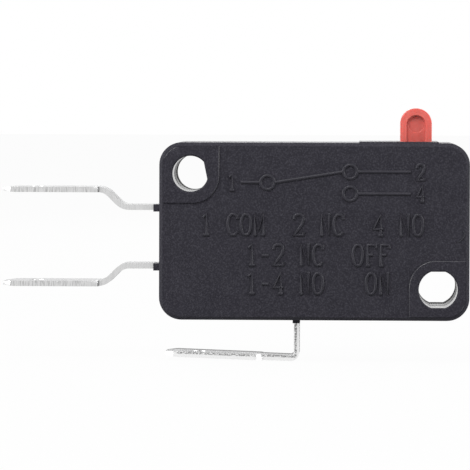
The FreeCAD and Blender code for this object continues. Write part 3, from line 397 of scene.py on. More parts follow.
@dataclass(frozen=True)
class BentStrip(ShearedStrip):
    """Strip bent once, torn in a dotted line that keeps to the inside of the bend, with painted
    shade towards the far edge of its broad faces.
    """

    leg_x_mm: float = -12.7
    tab_z_mm: float = -6.36
    tab_slope: float = 0.036
    tip_x_mm: float = -23.7
    tip_fade_mm: float = 0.3
    line_mm: tuple[float, float] = (0.0, 0.16)
    line_fade_mm: tuple[float, float] = (0.06, 0.05)
    least_torn: float = 0.05
    # Painted shade on the broad faces towards the far edge: a darker grey for the colour and a
    # darker tint for the reflection at low angles. It starts at these distances along the tab and
    # the neck and fades in over this run.
    painted_shade: str = "#8A8A8A"
    painted_shade_tint: str = "#8B8B8B"
    shade_start_on_tab_mm: float = 0.95
    shade_start_on_neck_mm: float = 0.25
    shade_fade_mm: tuple[float, float] = (-0.7, 1.1)
    neck_mm: tuple[float, float] = (-16.51, -15.74)

    def plated(self, tree: bpy.types.NodeTree, spot: bpy.types.Node,
               colour: bpy.types.NodeSocket) -> bpy.types.NodeSocket:
        """Colour of the broad faces, with the plate thinning towards the far edge.

        Args:
            tree: Node tree that takes the nodes.
            spot: Node that gives the place's coordinates.
            colour: Colour without the painted shade.

        Returns:
            The colour's socket.
        """
        return add_node(tree, "ShaderNodeMix",
                        {0: self.painted_shade_share(tree, spot), COLOUR_A: colour,
                         COLOUR_B: srgb(self.painted_shade)}, data_type="RGBA").outputs[MIXED_COLOUR]

    def painted_shade_share(self, tree: bpy.types.NodeTree,
                spot: bpy.types.Node) -> bpy.types.NodeSocket:
        """How deep the painted shade on the broad faces is, from the near edge to the far one.

        Args:
            tree: Node tree that takes the nodes.
            spot: Node that gives the place's coordinates.

        Returns:
            Socket that runs from 0 to 1 as the painted shade deepens.
        """
        start, stop = self.neck_mm
        limit = add_node(tree, "ShaderNodeMapRange",
                         (spot.outputs["X"], start * MM, stop * MM, self.shade_start_on_tab_mm * MM,
                          self.shade_start_on_neck_mm * MM))
        past = add_node(tree, "ShaderNodeMath", (spot.outputs["Y"], limit.outputs[0]),
                        operation="SUBTRACT").outputs[0]
        start, stop = self.shade_fade_mm
        return add_node(tree, "ShaderNodeMapRange", (past, start * MM, stop * MM)).outputs[0]

    def tinted(self, tree: bpy.types.NodeTree) -> dict[str, bpy.types.NodeSocket]:
        """Darken the tint of the reflection at low angles with the painted shade: a painted darker
        reflection.

        Args:
            tree: Node tree that takes the nodes.

        Returns:
            The tint's socket, by the name of the shader's own socket.
        """
        where = add_node(tree, "ShaderNodeTexCoord").outputs["Object"]
        spot = add_node(tree, "ShaderNodeSeparateXYZ", (where,))
        tint = add_node(tree, "ShaderNodeMix",
                        {0: self.painted_shade_share(tree, spot), COLOUR_A: srgb(self.edge_tint),
                         COLOUR_B: srgb(self.painted_shade_tint)}, data_type="RGBA")
        return {"Specular Tint": tint.outputs[MIXED_COLOUR]}

    def torn_zone(self, tree: bpy.types.NodeTree,
                  spot: bpy.types.Node) -> bpy.types.NodeSocket:
        """Where the shear tore the edge: near the inside of leg and tab, short of the tip.

        Args:
            tree: Node tree that takes the nodes.
            spot: Node that gives the place's coordinates.

        Returns:
            Socket that is near 1 where the edge is torn.
        """
        left_of_leg = add_node(tree, "ShaderNodeMath", (self.leg_x_mm * MM, spot.outputs["X"]),
                               operation="SUBTRACT").outputs[0]
        rise = add_node(tree, "ShaderNodeMath", (left_of_leg, self.tab_slope),
                        operation="MULTIPLY").outputs[0]
        level = add_node(tree, "ShaderNodeMath", (spot.outputs["Z"], rise),
                         operation="SUBTRACT").outputs[0]
        over_tab = add_node(tree, "ShaderNodeMath", (level, self.tab_z_mm * MM),
                            operation="SUBTRACT").outputs[0]
        inside = add_node(tree, "ShaderNodeMath", (left_of_leg, over_tab),
                          operation="MINIMUM").outputs[0]
        start, stop = (reach * MM for reach in self.line_mm)
        before, after = (fade * MM for fade in self.line_fade_mm)
        band, closed, short = (
            add_node(tree, "ShaderNodeMapRange", run).outputs[0]
            for run in ((inside, start - before, start), (inside, stop + after, stop),
                        (spot.outputs["X"], self.tip_x_mm * MM,
                         (self.tip_x_mm + self.tip_fade_mm) * MM)))
        for limit in (closed, short):
            band = add_node(tree, "ShaderNodeMath", (band, limit),
                            operation="MULTIPLY").outputs[0]
        return add_node(tree, "ShaderNodeMath", (band, self.least_torn),
                        operation="MAXIMUM").outputs[0]


# Black PBT polyester moulded against a spark-eroded tool: dull, with a fine even sparkle, its
# pits holding back part of the gloss. Real pits are near 0.03 mm and are drawn coarser to show.
BLACK_PBT = Finish(
    name="black_pbt_spark_eroded", base="#25242A", patch="#29282E", grit="#46454C",
    roughness=(0.45, 0.66), grain_mm=0.14, depth_mm=0.006, patch_mm=2.4, grit_share=0.6,
    metallic=0.0, ior=1.55, gloss=0.05, grazing_gloss=0.4)
# The same black in the strokes that were cut into the tool: smoother, so each one has a glint.
BLACK_PBT_CUT = Finish(
    name="black_pbt_engraved_tool", base="#25242A", patch="#29282E", grit="#403F46",
    roughness=(0.32, 0.44), grain_mm=0.1, depth_mm=0.002, patch_mm=2.4, grit_share=0.4,
    metallic=0.0, ior=1.55, gloss=0.12, grazing_gloss=0.4)
# The same black where polished core pins formed the bores: it mirrors at a low angle.
BLACK_PBT_BORE = BoreWall(
    name="black_pbt_core_pin_polished", base="#242322", patch="#2B2A28", grit="#4A4844",
    roughness=(0.3, 0.5), grain_mm=0.2, depth_mm=0.003, patch_mm=1.1, grit_share=0.4,
    metallic=0.0, ior=1.55, gloss=0.4, grazing_gloss=0.4)
# The same black on the pads' edges, rubbed smooth by handling: a thin glint towards each lamp.
BLACK_PBT_RIM = Finish(
    name="black_pbt_rubbed_smooth", base="#25242A", patch="#29282E", grit="#403F46",
    roughness=(0.24, 0.34), grain_mm=0.14, depth_mm=0.001, patch_mm=2.4, grit_share=0.3,
    metallic=0.0, ior=1.55, gloss=0.34, grazing_gloss=0.4)
# Red nylon from a polished tool: soft satin sheen, slightly cloudy colour.
RED_NYLON = Finish(
    name="red_nylon_moulded", base="#CC5F57", patch="#C45A52", grit="#D67970",
    roughness=(0.3, 0.42), grain_mm=0.3, depth_mm=0.002, patch_mm=1.4, grit_share=0.3,
    metallic=0.0, ior=1.53, gloss=0.3, grazing_gloss=0.5, clear_mm=0.8)
# Bright tin plate on rolled brass strip: nearly white metal with faint lines along it. Real
# rolling lines are near 0.02 mm apart and are drawn coarser to show.
TIN_PLATE = ShearedStrip(
    name="tin_plated_brass_strip", base="#D0D0D0", patch="#C7C7C8", grit="#B8B8B8",
    roughness=(0.24, 0.38), grain_mm=0.14, depth_mm=0.0012, patch_mm=1.5, edge_tint="#ADADAD",
    lay=Lay.ALONG_STRIP)
# The common strip's own blank: the same plate, torn along the inside of its bend, with painted
# shade towards the far edge of its broad faces.
TIN_PLATE_BENT = BentStrip(
    name="tin_plated_brass_bent", base="#D0D0D0", patch="#C7C7C8", grit="#B8B8B8",
    roughness=(0.24, 0.38), grain_mm=0.14, depth_mm=0.0012, patch_mm=1.5, edge_tint="#C4C4C4",
    lay=Lay.ALONG_STRIP, edge="#EAEAEA", torn="#868686", burnished="#FAFAFA", stroke_mm=0.16,
    stroke_lay=Lay.EVEN, strokes=(0.38, 0.54))
# Silver alloy rivet, cold headed: pale warm metal with a soft burnish.
SILVER_ALLOY = Finish(
    name="silver_alloy_cold_headed", base="#DEDCD6", patch="#D2CFC7", grit="#BBB6AC",
    roughness=(0.22, 0.38), grain_mm=0.12, depth_mm=0.001, patch_mm=0.9)
# Copper alloy spring strip, rolled: warm brown-gold with lines along the strip.
COPPER_STRIP = Finish(
    name="copper_alloy_rolled", base="#C08A55", patch="#B47E4B", grit="#8F6138",
    roughness=(0.24, 0.4), grain_mm=0.12, depth_mm=0.001, patch_mm=1.2, grit_share=0.45,
    lay=Lay.ALONG_STRIP)
# Zinc-plated pressed steel: cool grey, lightly scuffed.
PRESSED_STEEL = Finish(
    name="pressed_steel_zinc_plated", base="#A9ACAF", patch="#9DA0A4", grit="#7F8388",
    roughness=(0.3, 0.46), grain_mm=0.14, depth_mm=0.0015, patch_mm=1.3, grit_share=0.5)
# Hard-drawn spring wire: grey steel with drawing lines along it.
SPRING_WIRE = Finish(
    name="spring_steel_drawn_wire", base="#8F9295", patch="#85888B", grit="#64676A",
    roughness=(0.26, 0.4), grain_mm=0.05, depth_mm=0.0006, patch_mm=0.5, lay=Lay.ROUND_WIRE)


@dataclass(frozen=True)
class Rounding:
    """How far the edges of a moulded or stamped piece are rounded."""

    width_mm: float
    segments: int = 3
    from_degrees: float = 24.0


@dataclass(frozen=True)
class Bore:
    """A mounting hole: its axis and the widest distance of its wall."""

    x_mm: float
    z_mm: float
    reach_mm: float


@dataclass(frozen=True)
class FaceRim:
    """Edges of the raised pads on a moulding's face, rounded wider than the rest."""

    width_mm: float
    face_from_mm: float
    bores: tuple[Bore, ...]
    inside_x_mm: tuple[float, float] = (-24.5, 2.3)
    inside_z_mm: tuple[float, float] = (-2.3, 12.6)
    lowest_slope: float = -0.7
    front_slope: float = -0.99
    wall_slope: float = 0.3
    segments: int = 4
    slot: int = 2

    def holds(self, edge: bmesh.types.BMEdge) -> bool:
        """Whether an edge lies round a pad, off the bores, the border and the pad's underside.

        Args:
            edge: Edge of the moulding.

        Returns:
            True if the edge gets the wider rounding.
        """
        if len(edge.link_faces) != 2 or not edge.is_convex:
            return False
        fronts = [face for face in edge.link_faces if face.normal.y < self.front_slope]
        walls = [face for face in edge.link_faces if abs(face.normal.y) < self.wall_slope]
        middle = (edge.verts[0].co + edge.verts[1].co) / 2
        clear = all(math.hypot(middle.x - bore.x_mm * MM, middle.z - bore.z_mm * MM)
                    > bore.reach_mm * MM for bore in self.bores)
        inside = all(low * MM < where < high * MM for where, (low, high)
                     in ((middle.x, self.inside_x_mm), (middle.z, self.inside_z_mm)))
        return (len(fronts) == 1 and len(walls) == 1 and clear and inside
                and walls[0].normal.z > self.lowest_slope
                and middle.y < self.face_from_mm * MM)

    def mark(self, work: bmesh.types.BMesh) -> None:
        """Weigh the rim's edges for the bevel.

        Args:
            work: Mesh of the moulding, changed in place.
        """
        weights = work.edges.layers.float.new("bevel_weight_edge")
        for edge in work.edges:
            edge[weights] = float(self.holds(edge))


@dataclass(frozen=True)
class Shoulder:
    """Rounded step from a terminal's narrow leg to its wide tab."""

    leg_end_mm: float
    squareness: float
    leg_half_mm: float = 1.6
    round_mm: float = 0.775
    cuts: int = 16
    close_mm: float = 0.01
    cut_close_mm: float = 0.0001

    def __call__(self, work: bmesh.types.BMesh) -> None:
        """Turn the solid's straight shoulders into arcs, fuller than a circle's if squareness > 2.

        Args:
            work: Mesh of the terminal, changed in place.
        """
        for cut in range(1, self.cuts):
            lean = math.tan(math.radians(90.0 * cut / self.cuts)) ** (2 / self.squareness)
            where = (self.leg_end_mm - self.round_mm * lean / (1 + lean)) * MM
            bmesh.ops.bisect_plane(work, geom=[*work.verts, *work.edges, *work.faces],
                                   dist=self.cut_close_mm * MM, plane_co=(where, 0.0, 0.0),
                                   plane_no=(1.0, 0.0, 0.0))
        for side in (-1, 1):
            for vertex in [v for v in work.verts if self.on_step(v.co, side)]:
                along = vertex.co.x - (self.leg_end_mm - self.round_mm) * MM
                across = side * vertex.co.y - self.leg_half_mm * MM
                reach = (abs(along) ** self.squareness
                         + abs(across) ** self.squareness) ** (1 / self.squareness)
                stretch = self.round_mm * MM / reach
                vertex.co.x += along * (stretch - 1)
                vertex.co.y += side * across * (stretch - 1)

    def on_step(self, where: Vector, side: int) -> bool:
        """Whether a point lies on the solid's straight shoulder.

        Args:
            where: The point, in metres.
            side: -1 for the shoulder towards -Y, 1 for the other.

        Returns:
            True if it lies there.
        """
        short = (self.leg_end_mm * MM - where.x) / MM
        wide = side * where.y / MM - self.leg_half_mm
        return (abs(wide - short) < self.close_mm
                and -self.close_mm < short < self.round_mm + self.close_mm)


class Piece:
    """Makes shown pieces that stand for the part's solids."""

    def __init__(self, finish: bpy.types.Material, slot: str, body: str) -> None:
        """Keep what the pieces share.

        Args:
            finish: Their material.
            slot: Their slot in the part's record; not used.
            body: The body that they ride on.
        """
        self.finish = finish
        self.slot = slot
        self.body = body

    def dressed(self, node: str, name: str, rounding: Rounding,
                shape: Callable[[bmesh.types.BMesh], None] | None = None,
                rim: FaceRim | None = None) -> bpy.types.Object:
        """Build a piece on a solid's own shape, with rounded edges and smooth curves.

        Args:
            node: The part's node that the piece stands for.
            name: Name of the new piece.
            rounding: Width and steps of its rounded edges.
            shape: Further shaping of the mesh before its edges are rounded.
            rim: Edges of its outer face that are rounded wider.

        Returns:
            The finished piece.
        """
        mesh = bpy.data.meshes.new(name)
        work = bmesh.new()
        work.from_mesh(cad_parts[node].data)
        bmesh.ops.remove_doubles(work, verts=work.verts, dist=WELD_MM * MM)
        bmesh.ops.dissolve_limit(work, angle_limit=math.radians(FLAT_DEGREES), verts=work.verts,
                                 edges=work.edges)
        for face in work.faces:
            face.smooth = True
        if shape is not None:
            shape(work)
        if rim is not None:
            rim.mark(work)
        work.to_mesh(mesh)
        work.free()
        shown = bpy.data.objects.new(name, mesh)
        bpy.context.scene.collection.objects.link(shown)
        if rim is not None:
            wide = self.rounded(shown, "rounded_rim", rim.width_mm, rim.segments)
            wide.limit_method = "WEIGHT"
            wide.use_clamp_overlap = False
            wide.material = rim.slot
        bevel = self.rounded(shown, "rounded_edges", rounding.width_mm, rounding.segments)
        bevel.limit_method = "ANGLE"
        bevel.angle_limit = math.radians(rounding.from_degrees)
        bevel.use_clamp_overlap = True
        shown.modifiers.new("flat_faces_stay_flat", "WEIGHTED_NORMAL")
        return self.settled(shown, node)

    def rounded(self, shown: bpy.types.Object, name: str, width_mm: float,
                segments: int) -> bpy.types.BevelModifier:
        """Round a piece's edges.

        Args:
            shown: The piece.
            name: Name of the rounding.
            width_mm: Width of a rounded edge.
            segments: Steps across it.

        Returns:
            The modifier, whose edges are still to be chosen.
        """
        bevel = shown.modifiers.new(name, "BEVEL")
        bevel.width = width_mm * MM
        bevel.segments = segments
        return bevel

    def tubes(self, name: str, lines: list[list[Vector]],
              radius_mm: float) -> bpy.types.Object:
        """Build round strokes or wire along lines of points.

        Args:
            name: Name of the new piece.
            lines: Points of each stroke, in metres.
            radius_mm: Radius of the stroke.

        Returns:
            The mesh object, not yet riding on a body.
        """
        curve = bpy.data.curves.new(name + "_lines", "CURVE")
        curve.dimensions = "3D"
        curve.bevel_depth = radius_mm * MM
        curve.bevel_resolution = WIRE_STEPS
        curve.use_fill_caps = True
        for line in lines:
            spline = curve.splines.new("POLY")
            spline.points.add(len(line) - 1)
            for spot, where in zip(spline.points, line):
                spot.co = (*where, 1.0)
        holder = bpy.data.objects.new(name + "_lines", curve)
        bpy.context.scene.collection.objects.link(holder)
        graph = bpy.context.evaluated_depsgraph_get()
        mesh = bpy.data.meshes.new_from_object(holder.evaluated_get(graph))
        bpy.data.objects.remove(holder)
        bpy.data.curves.remove(curve)
        for polygon in mesh.polygons:
            polygon.use_smooth = True
        mesh.name = name
        shown = bpy.data.objects.new(name, mesh)
        bpy.context.scene.collection.objects.link(shown)
        return shown

    def settled(self, shown: bpy.types.Object, node: str | None = None) -> bpy.types.Object:
        """Give a piece its finish and body.

        Args:
            shown: The piece.
            node: The part's node that it stands for, if any.

        Returns:
            The same piece.
        """
        shown.data.materials.clear()
        shown.data.materials.append(self.finish)
        if node is not None:
            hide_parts(node)
        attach(shown, self.body)
        log.info("%s: rides on %s", shown.name, self.body)
        return shown


class StrokeLettering:
    """Plain letters and figures of single strokes with small feet, on a grid 4 wide, 6 high."""

    SIGNS = {
        "1": [[(0.6, 5), (2, 6), (2, 0)], [(0.8, 0), (3.2, 0)]],
        "2": [[(0, 4.6), (0.3, 5.6), (1.2, 6), (2.8, 6), (3.7, 5.5), (3.9, 4.4), (3.4, 3.2),
               (0, 0), (4, 0), (4, 0.9)]],
        "4": [[(3, 0), (3, 6), (0, 1.8), (4, 1.8)], [(2, 0), (4, 0)]],
        "C": [[(3.9, 4.6), (3.9, 6)], [(3.9, 5), (3, 5.9), (1.5, 6), (0.5, 5.2), (0, 3.6),
              (0, 2.4), (0.5, 0.8), (1.5, 0), (3, 0.1), (3.9, 1)]],
        "F": [[(0.6, 0), (0.6, 6), (4, 6), (4, 5)], [(0.6, 3.1), (2.8, 3.1)], [(0, 0), (1.6, 0)]],
        "O": [[(2, 6), (3, 5.8), (3.8, 4.6), (4, 3), (3.8, 1.4), (3, 0.2), (2, 0), (1, 0.2),
               (0.2, 1.4), (0, 3), (0.2, 4.6), (1, 5.8), (2, 6)]],
        "M": [[(0.3, 0), (0.3, 6), (2, 1.6), (3.7, 6), (3.7, 0)], [(-0.2, 0), (0.9, 0)],
              [(3.1, 0), (4.3, 0)]],
        "N": [[(0.5, 0), (0.5, 6), (3.6, 0), (3.6, 6)], [(0, 0), (1.1, 0)], [(3, 6), (4.2, 6)]],
        "-": [[(0.6, 2.8), (3.4, 2.8)]],
        " ": [],
    }
    GRID = (4.0, 6.0)
    GAP = 0.36

    def line(self, text: str, row: Row, y_mm: float) -> list[list[Vector]]:
        """Strokes of a row of signs on the cover.

        Args:
            text: Signs to write.
            row: Row that takes them.
            y_mm: Height of the strokes' middle over the cover.

        Returns:
            Points of each stroke, in metres.
        """
        left, foot, tall, wide = row.value
        lines = []
        for i, sign in enumerate(text):
            start = left + i * wide * (1 + self.GAP)
            for stroke in self.SIGNS[sign]:
                lines.append([point(start + a / self.GRID[0] * wide, y_mm,
                                    foot + b / self.GRID[1] * tall) for a, b in stroke])
        return lines


@dataclass
class Housing:
    """Case and cover, with the raised marks on the cover's face."""

    face_mm: float = -5.0
    stroke_radius_mm: float = 0.15
    symbol_left_mm: float = -17.7
    symbol_foot_mm: float = 7.95
    symbol_high_mm: float = 3.2
    symbol_common_mm: float = 2.4
    symbol_contacts_mm: float = 9.8
    symbol_wide_mm: float = 15.2
    ring_radius_mm: float = 0.62
    ring_steps: int = 24
    bores: tuple[Bore, ...] = (Bore(-22.2, 10.3, 1.63), Bore(0.0, 0.0, 1.77))
    bore_slot: int = 1
    edge_mm: float = 0.07
    rim_mm: float = 0.08
    rim_from_mm: float = -4.9
    nick_mm: tuple[tuple[float, float], ...] = ((2.19, 5.24), (2.35, 5.09), (2.36, 4.85),
                                                (2.17, 4.59), (1.97, 4.39), (1.83, 4.24),
                                                (1.65, 4.36))
    lump_mm: tuple[tuple[float, float], ...] = ((-17.1, -1.33), (-17.02, -1.33))
    flaw_radius_mm: float = 0.06

    def build(self) -> None:
        """Build both mouldings and the marks."""
        pieces = Piece(BLACK_PBT.material(), "housing", "housing")
        polished, rubbed = BLACK_PBT_BORE.material(), BLACK_PBT_RIM.material()
        rim = FaceRim(self.rim_mm, self.rim_from_mm, self.bores)
        for node, round_face in (("case", None), ("cover", rim)):
            moulding = pieces.dressed(node, node + "_moulding", Rounding(self.edge_mm),
                                      rim=round_face)
            self.polish_bores(moulding, polished)
            moulding.data.materials.append(rubbed)
        letters = StrokeLettering()
        lines = self.changeover_symbol()
        for text, row in (("1", Row.COMMON_END), ("2", Row.UPPER_END), ("4", Row.LOWER_END),
                          ("1 COM  2 NC  4 NO", Row.NAMES), ("1-2 NC  OFF", Row.CLOSED_PAIR),
                          ("1-4 NO   ON", Row.OPEN_PAIR)):
            lines += letters.line(text, row, self.face_mm)
        cut = Piece(BLACK_PBT_CUT.material(), "housing", "housing")
        cut.settled(cut.tubes("cover_marks", lines, self.stroke_radius_mm))
        flaws = [[point(x, self.face_mm, z) for x, z in flaw]
                 for flaw in (self.nick_mm, self.lump_mm)]
        cut.settled(cut.tubes("cover_flaws", flaws, self.flaw_radius_mm))

    def polish_bores(self, moulding: bpy.types.Object, polished: bpy.types.Material) -> None:
        """Give the walls of the mounting holes their own finish.

        Args:
            moulding: Half of the housing.
            polished: The walls' finish.
        """
        moulding.data.materials.append(polished)
        for face in moulding.data.polygons:
            for bore in self.bores:
                away = math.hypot(face.center.x - bore.x_mm * MM, face.center.z - bore.z_mm * MM)
                if away < bore.reach_mm * MM and abs(face.normal.y) < WALL_SLOPE:
                    face.material_index = self.bore_slot

    def changeover_symbol(self) -> list[list[Vector]]:
        """Wiring symbol of a changeover contact.

        Returns:
            Points of each stroke, in metres.
        """
        reach, y = self.ring_radius_mm, self.face_mm
        left, end = self.symbol_left_mm, self.symbol_left_mm + self.symbol_wide_mm
        common, contacts = left + self.symbol_common_mm, left + self.symbol_contacts_mm
        centre = self.symbol_foot_mm + self.symbol_high_mm / 2
        upper = self.symbol_foot_mm + self.symbol_high_mm - reach
        lower = self.symbol_foot_mm + reach
        lines = [
            [point(left, y, centre), point(common - reach, y, centre)],
            [point(common + reach, y, centre), point(contacts - reach, y, upper)],
            [point(contacts + reach, y, upper), point(end, y, upper)],
            [point(contacts + reach, y, lower), point(end, y, lower)],
        ]
        for x, z in ((common, centre), (contacts, upper), (contacts, lower)):
            turns = [2 * math.pi * i / self.ring_steps for i in range(self.ring_steps + 1)]
            lines.append([point(x + reach * math.cos(a), y, z + reach * math.sin(a))
                          for a in turns])
        return lines


@dataclass
class Button:
    """Red plunger."""

    edge_mm: float = 0.14
    edge_segments: int = 4

    def build(self) -> None:
        """Build the plunger."""
        pieces = Piece(RED_NYLON.material(), "plunger", "button")
        pieces.dressed("plunger", "plunger_moulding",
                       Rounding(self.edge_mm, self.edge_segments))


@dataclass
class Terminals:
    """The three tin-plated terminals."""

    edge_mm: float = 0.03
    edge_segments: int = 2
    leg_end_mm: float = -30.62
    leg_end_squareness: float = 9.0
    common_end_mm: float = -15.74
    common_end_squareness: float = 2.0

    def build(self) -> None:
        """Build the terminals."""
        straight = Piece(TIN_PLATE.material(), "terminal", "housing")
        bent = Piece(TIN_PLATE_BENT.material(), "terminal", "housing")
        end_shoulder = Shoulder(self.leg_end_mm, self.leg_end_squareness)
        common_shoulder = Shoulder(self.common_end_mm, self.common_end_squareness)
        for node, pieces, shoulder in (("nc_terminal", straight, end_shoulder),
                                       ("no_terminal", straight, end_shoulder),
                                       ("com_terminal", bent, common_shoulder)):
            pieces.dressed(node, node + "_strip", Rounding(self.edge_mm, self.edge_segments),
                           shoulder)


@dataclass
class Mechanism:
    """Contacts, arm, rocker, pin and snap spring inside the case."""

    edge_mm: float = 0.04
    rivet_edge_mm: float = 0.08
    lever_edge_mm: float = 0.06
    wire_mm: float = 0.13
    coil_mm: float = 0.6
    turns: int = 12
    turn_steps: int = 24
    bend_mm: float = 0.3
    bend_step_degrees: int = 10
    hook_down_mm: float = 0.5
    arm_hook_x_mm: float = -17.582
    arm_hook_top_mm: float = 5.394
    rocker_hook_x_mm: float = -8.74
    rocker_hook_top_mm: float = 4.85
    coil_start_mm: float = -16.39
    coil_end_mm: float = -10.3

    def build(self) -> None:
        """Build every inner piece."""
        silver = SILVER_ALLOY.material()
        for node, body in (("nc_contact", "housing"), ("no_contact", "housing"),
                           ("moving_contact", "contact_blade")):
            Piece(silver, "contact", body).dressed(node, node + "_rivet",
                                                   Rounding(self.rivet_edge_mm))
        Piece(COPPER_STRIP.material(), "arm", "contact_blade").dressed(
            "contact_arm", "contact_arm_blade", Rounding(self.edge_mm))
        steel = PRESSED_STEEL.material()
        Piece(steel, "rocker", "rocking_lever").dressed("rocker", "rocker_lever",
                                                        Rounding(self.lever_edge_mm))
        Piece(steel, "rocker", "housing").dressed("rocker_pin", "rocker_pin_turned",
                                                  Rounding(self.edge_mm))
        self.build_spring()

    def spring_line(self) -> list[Vector]:
        """Middle of the spring wire: hook, coil and hook in one run.

        Returns:
            Points along the wire, in metres.
        """
        quarter = [math.radians(angle) for angle in range(0, 91, self.bend_step_degrees)]
        bend, start_top, end_top = self.bend_mm, self.arm_hook_top_mm, self.rocker_hook_top_mm
        line = [point(self.arm_hook_x_mm, 0, start_top - bend - self.hook_down_mm)]
        line += [point(self.arm_hook_x_mm + bend * (1 - math.cos(a)), 0,
                       start_top - bend * (1 - math.sin(a))) for a in quarter]
        length = self.coil_end_mm - self.coil_start_mm
        whole, lead = 2 * math.pi * self.turns, bend / self.coil_mm
        steps = self.turns * self.turn_steps
        wound = [(bend * math.sin(a), lead * (1 - math.cos(a))) for a in quarter]
        wound += [(bend + i / steps * (length - 2 * bend), lead + i / steps * (whole - 2 * lead))
                  for i in range(1, steps)]
        wound += [(length - bend * math.sin(a), whole - lead * (1 - math.cos(a)))
                  for a in reversed(quarter)]
        for along, angle in wound:
            top = start_top + along / length * (end_top - start_top)
            line.append(point(self.coil_start_mm + along, self.coil_mm * math.sin(angle),
                              top - self.coil_mm * (1 - math.cos(angle))))
        line += [point(self.rocker_hook_x_mm - bend * (1 - math.sin(a)), 0,
                       end_top - bend * (1 - math.cos(a))) for a in quarter]
        line.append(point(self.rocker_hook_x_mm, 0, end_top - bend - self.hook_down_mm))
        return line

    def build_spring(self) -> None:
        """Build the spring wire between the case and the rocker, in one fixed shape."""
        pieces = Piece(SPRING_WIRE.material(), "spring", "housing")
        wire = pieces.tubes("snap_spring_wire", [self.spring_line()], self.wire_mm)
        wire.data.materials.append(pieces.finish)
        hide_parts("snap_spring")
        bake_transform(wire)
        log.info("%s: bends between housing and rocking_lever", wire.name)


@dataclass(frozen=True)
class Lamp:
    """A square soft lamp: its place, its side and its power."""

    name: str
    place_mm: tuple[float, float, float]
    side_mm: float
    watts: float


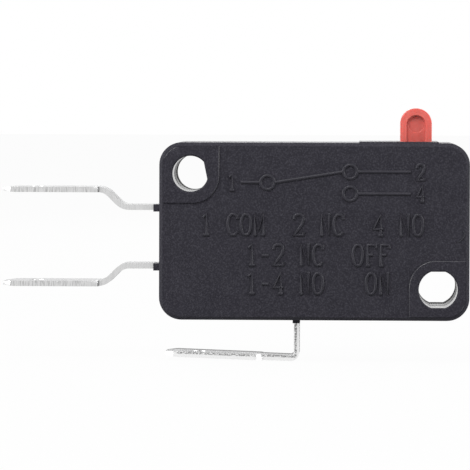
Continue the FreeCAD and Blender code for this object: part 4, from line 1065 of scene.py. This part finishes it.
@dataclass
class Studio:
    """Pale floor, soft lamps, white surroundings and the camera."""

    floor_half_mm: float = 2000.0
    camera_mm: tuple[float, float, float] = (-6.768, -352.129, 17.336)
    yaw_degrees: float = -1.8837
    pitch_degrees: float = -2.0626
    roll_degrees: float = 0.1946
    view_degrees: float = 6.9247
    sight_m: tuple[float, float] = (0.01, 20.0)
    aim_mm: tuple[float, float, float] = (-11.0, 0.0, 5.0)
    lamps: tuple[Lamp, ...] = (
        Lamp("key", (-140.0, -280.0, 303.0), 200.0, 1.5),
        Lamp("overhead", (-30.0, -60.0, 400.0), 460.0, 0.5),
        Lamp("left", (-400.0, -110.0, 70.0), 260.0, 1.5),
        Lamp("right", (380.0, -110.0, 120.0), 260.0, 1.6),
        Lamp("rear", (40.0, 260.0, 220.0), 320.0, 0.7),
    )
    paper_grain_mm: float = 8.0
    paper_tones: tuple[str, str] = ("#ADADAD", "#B5B5B5")
    surround: float = 0.14
    white: float = 1.0
    floor_show: float = 0.97

    def build(self) -> None:
        """Build the floor, the light and the camera."""
        self.build_floor()
        self.build_world()
        for lamp in self.lamps:
            self.build_lamp(lamp)
        self.build_camera()
        bpy.context.scene.view_settings.view_transform = "Standard"

    def build_floor(self) -> None:
        """Floor just under the lowest tab."""
        low = CAD_BOX[0].z
        half = self.floor_half_mm * MM
        mesh = bpy.data.meshes.new("studio_floor")
        corners = [(-half, -half, low), (half, -half, low), (half, half, low), (-half, half, low)]
        mesh.from_pydata(corners, [], [(0, 1, 2, 3)])
        floor = bpy.data.objects.new("studio_floor", mesh)
        bpy.context.scene.collection.objects.link(floor)
        # Uncoated white paper: even and dull, so that it takes the shadow and shows no lamp.
        material = bpy.data.materials.new("white_paper_sweep")
        material.use_nodes = True
        tree = material.node_tree
        tree.nodes.clear()
        paper = add_node(tree, "ShaderNodeTexNoise",
                         {"Scale": per_metre(self.paper_grain_mm), "Detail": NOISE_DETAIL})
        pale, paler = map(srgb, self.paper_tones)
        tone = add_node(tree, "ShaderNodeMix",
                        {0: paper.outputs["Fac"], COLOUR_A: pale, COLOUR_B: paler},
                        data_type="RGBA").outputs[MIXED_COLOUR]
        matte = add_node(tree, "ShaderNodeBsdfDiffuse", {"Color": tone})
        glow = add_node(tree, "ShaderNodeEmission", {"Strength": self.white})
        share = add_node(tree, "ShaderNodeMath", (self.seen(tree), self.floor_show),
                         operation="MULTIPLY")
        shown = add_node(tree, "ShaderNodeMixShader",
                         (share.outputs[0], matte.outputs[0], glow.outputs[0]))
        add_node(tree, "ShaderNodeOutputMaterial", {"Surface": shown.outputs["Shader"]})
        mesh.materials.append(material)

    def seen(self, tree: bpy.types.NodeTree) -> bpy.types.NodeSocket:
        """Tell rays that see the studio from rays that only light the switch.

        Args:
            tree: Node tree that takes the nodes.

        Returns:
            Socket that is 1 for rays from the camera, from gloss and through clear pieces.
        """
        path = add_node(tree, "ShaderNodeLightPath").outputs
        direct = add_node(tree, "ShaderNodeMath", (path["Is Camera Ray"], path["Is Glossy Ray"]),
                          operation="MAXIMUM").outputs[0]
        return add_node(tree, "ShaderNodeMath", (direct, path["Is Transmission Ray"]),
                        operation="MAXIMUM").outputs[0]

    def build_world(self) -> None:
        """White surroundings that light softly."""
        world = bpy.data.worlds.new("studio")
        world.use_nodes = True
        bpy.context.scene.world = world
        tree = world.node_tree
        tree.nodes.clear()
        strength = add_node(tree, "ShaderNodeMapRange",
                            (self.seen(tree), 0.0, 1.0, self.surround, self.white))
        sky = add_node(tree, "ShaderNodeBackground",
                       {"Color": srgb(WHITE), "Strength": strength.outputs[0]})
        add_node(tree, "ShaderNodeOutputWorld", {"Surface": sky.outputs["Background"]})

    def build_lamp(self, lamp: Lamp) -> None:
        """Add a lamp aimed at the switch.

        Args:
            lamp: Its name, place, size and power.
        """
        data = bpy.data.lights.new(lamp.name, "AREA")
        data.size = lamp.side_mm * MM
        data.energy = lamp.watts
        stand = bpy.data.objects.new(lamp.name, data)
        stand.location = point(*lamp.place_mm)
        aim = point(*self.aim_mm) - stand.location
        stand.rotation_mode = "QUATERNION"
        stand.rotation_quaternion = aim.to_track_quat("-Z", "Y")
        bpy.context.scene.collection.objects.link(stand)

    def build_camera(self) -> None:
        """Add the camera where the photograph was taken from."""
        data = bpy.data.cameras.new("camera")
        data.sensor_fit = "HORIZONTAL"
        data.angle = math.radians(self.view_degrees)
        data.clip_start, data.clip_end = self.sight_m
        camera = bpy.data.objects.new("camera", data)
        yaw, pitch, roll = map(math.radians, (self.yaw_degrees, self.pitch_degrees,
                                              self.roll_degrees))
        forward = Vector((math.sin(yaw) * math.cos(pitch), math.cos(yaw) * math.cos(pitch),
                          math.sin(pitch)))
        right = forward.cross(Vector((0, 0, 1))).normalized()
        up = right.cross(forward)
        tilted = math.cos(roll) * right + math.sin(roll) * up
        upward = -math.sin(roll) * right + math.cos(roll) * up
        camera.matrix_world = (Matrix.Translation(point(*self.camera_mm))
                               @ Matrix((tilted, upward, -forward)).transposed().to_4x4())
        bpy.context.scene.collection.objects.link(camera)
        bpy.context.scene.camera = camera


def main() -> None:
    """Build the switch and its studio."""
    logging.basicConfig(level=logging.INFO, format="%(message)s")
    for assembly in (Housing(), Button(), Terminals(), Mechanism(), Studio()):
        log.info("building %s", type(assembly).__name__)
        assembly.build()


if __name__ == "__main__":
    main()
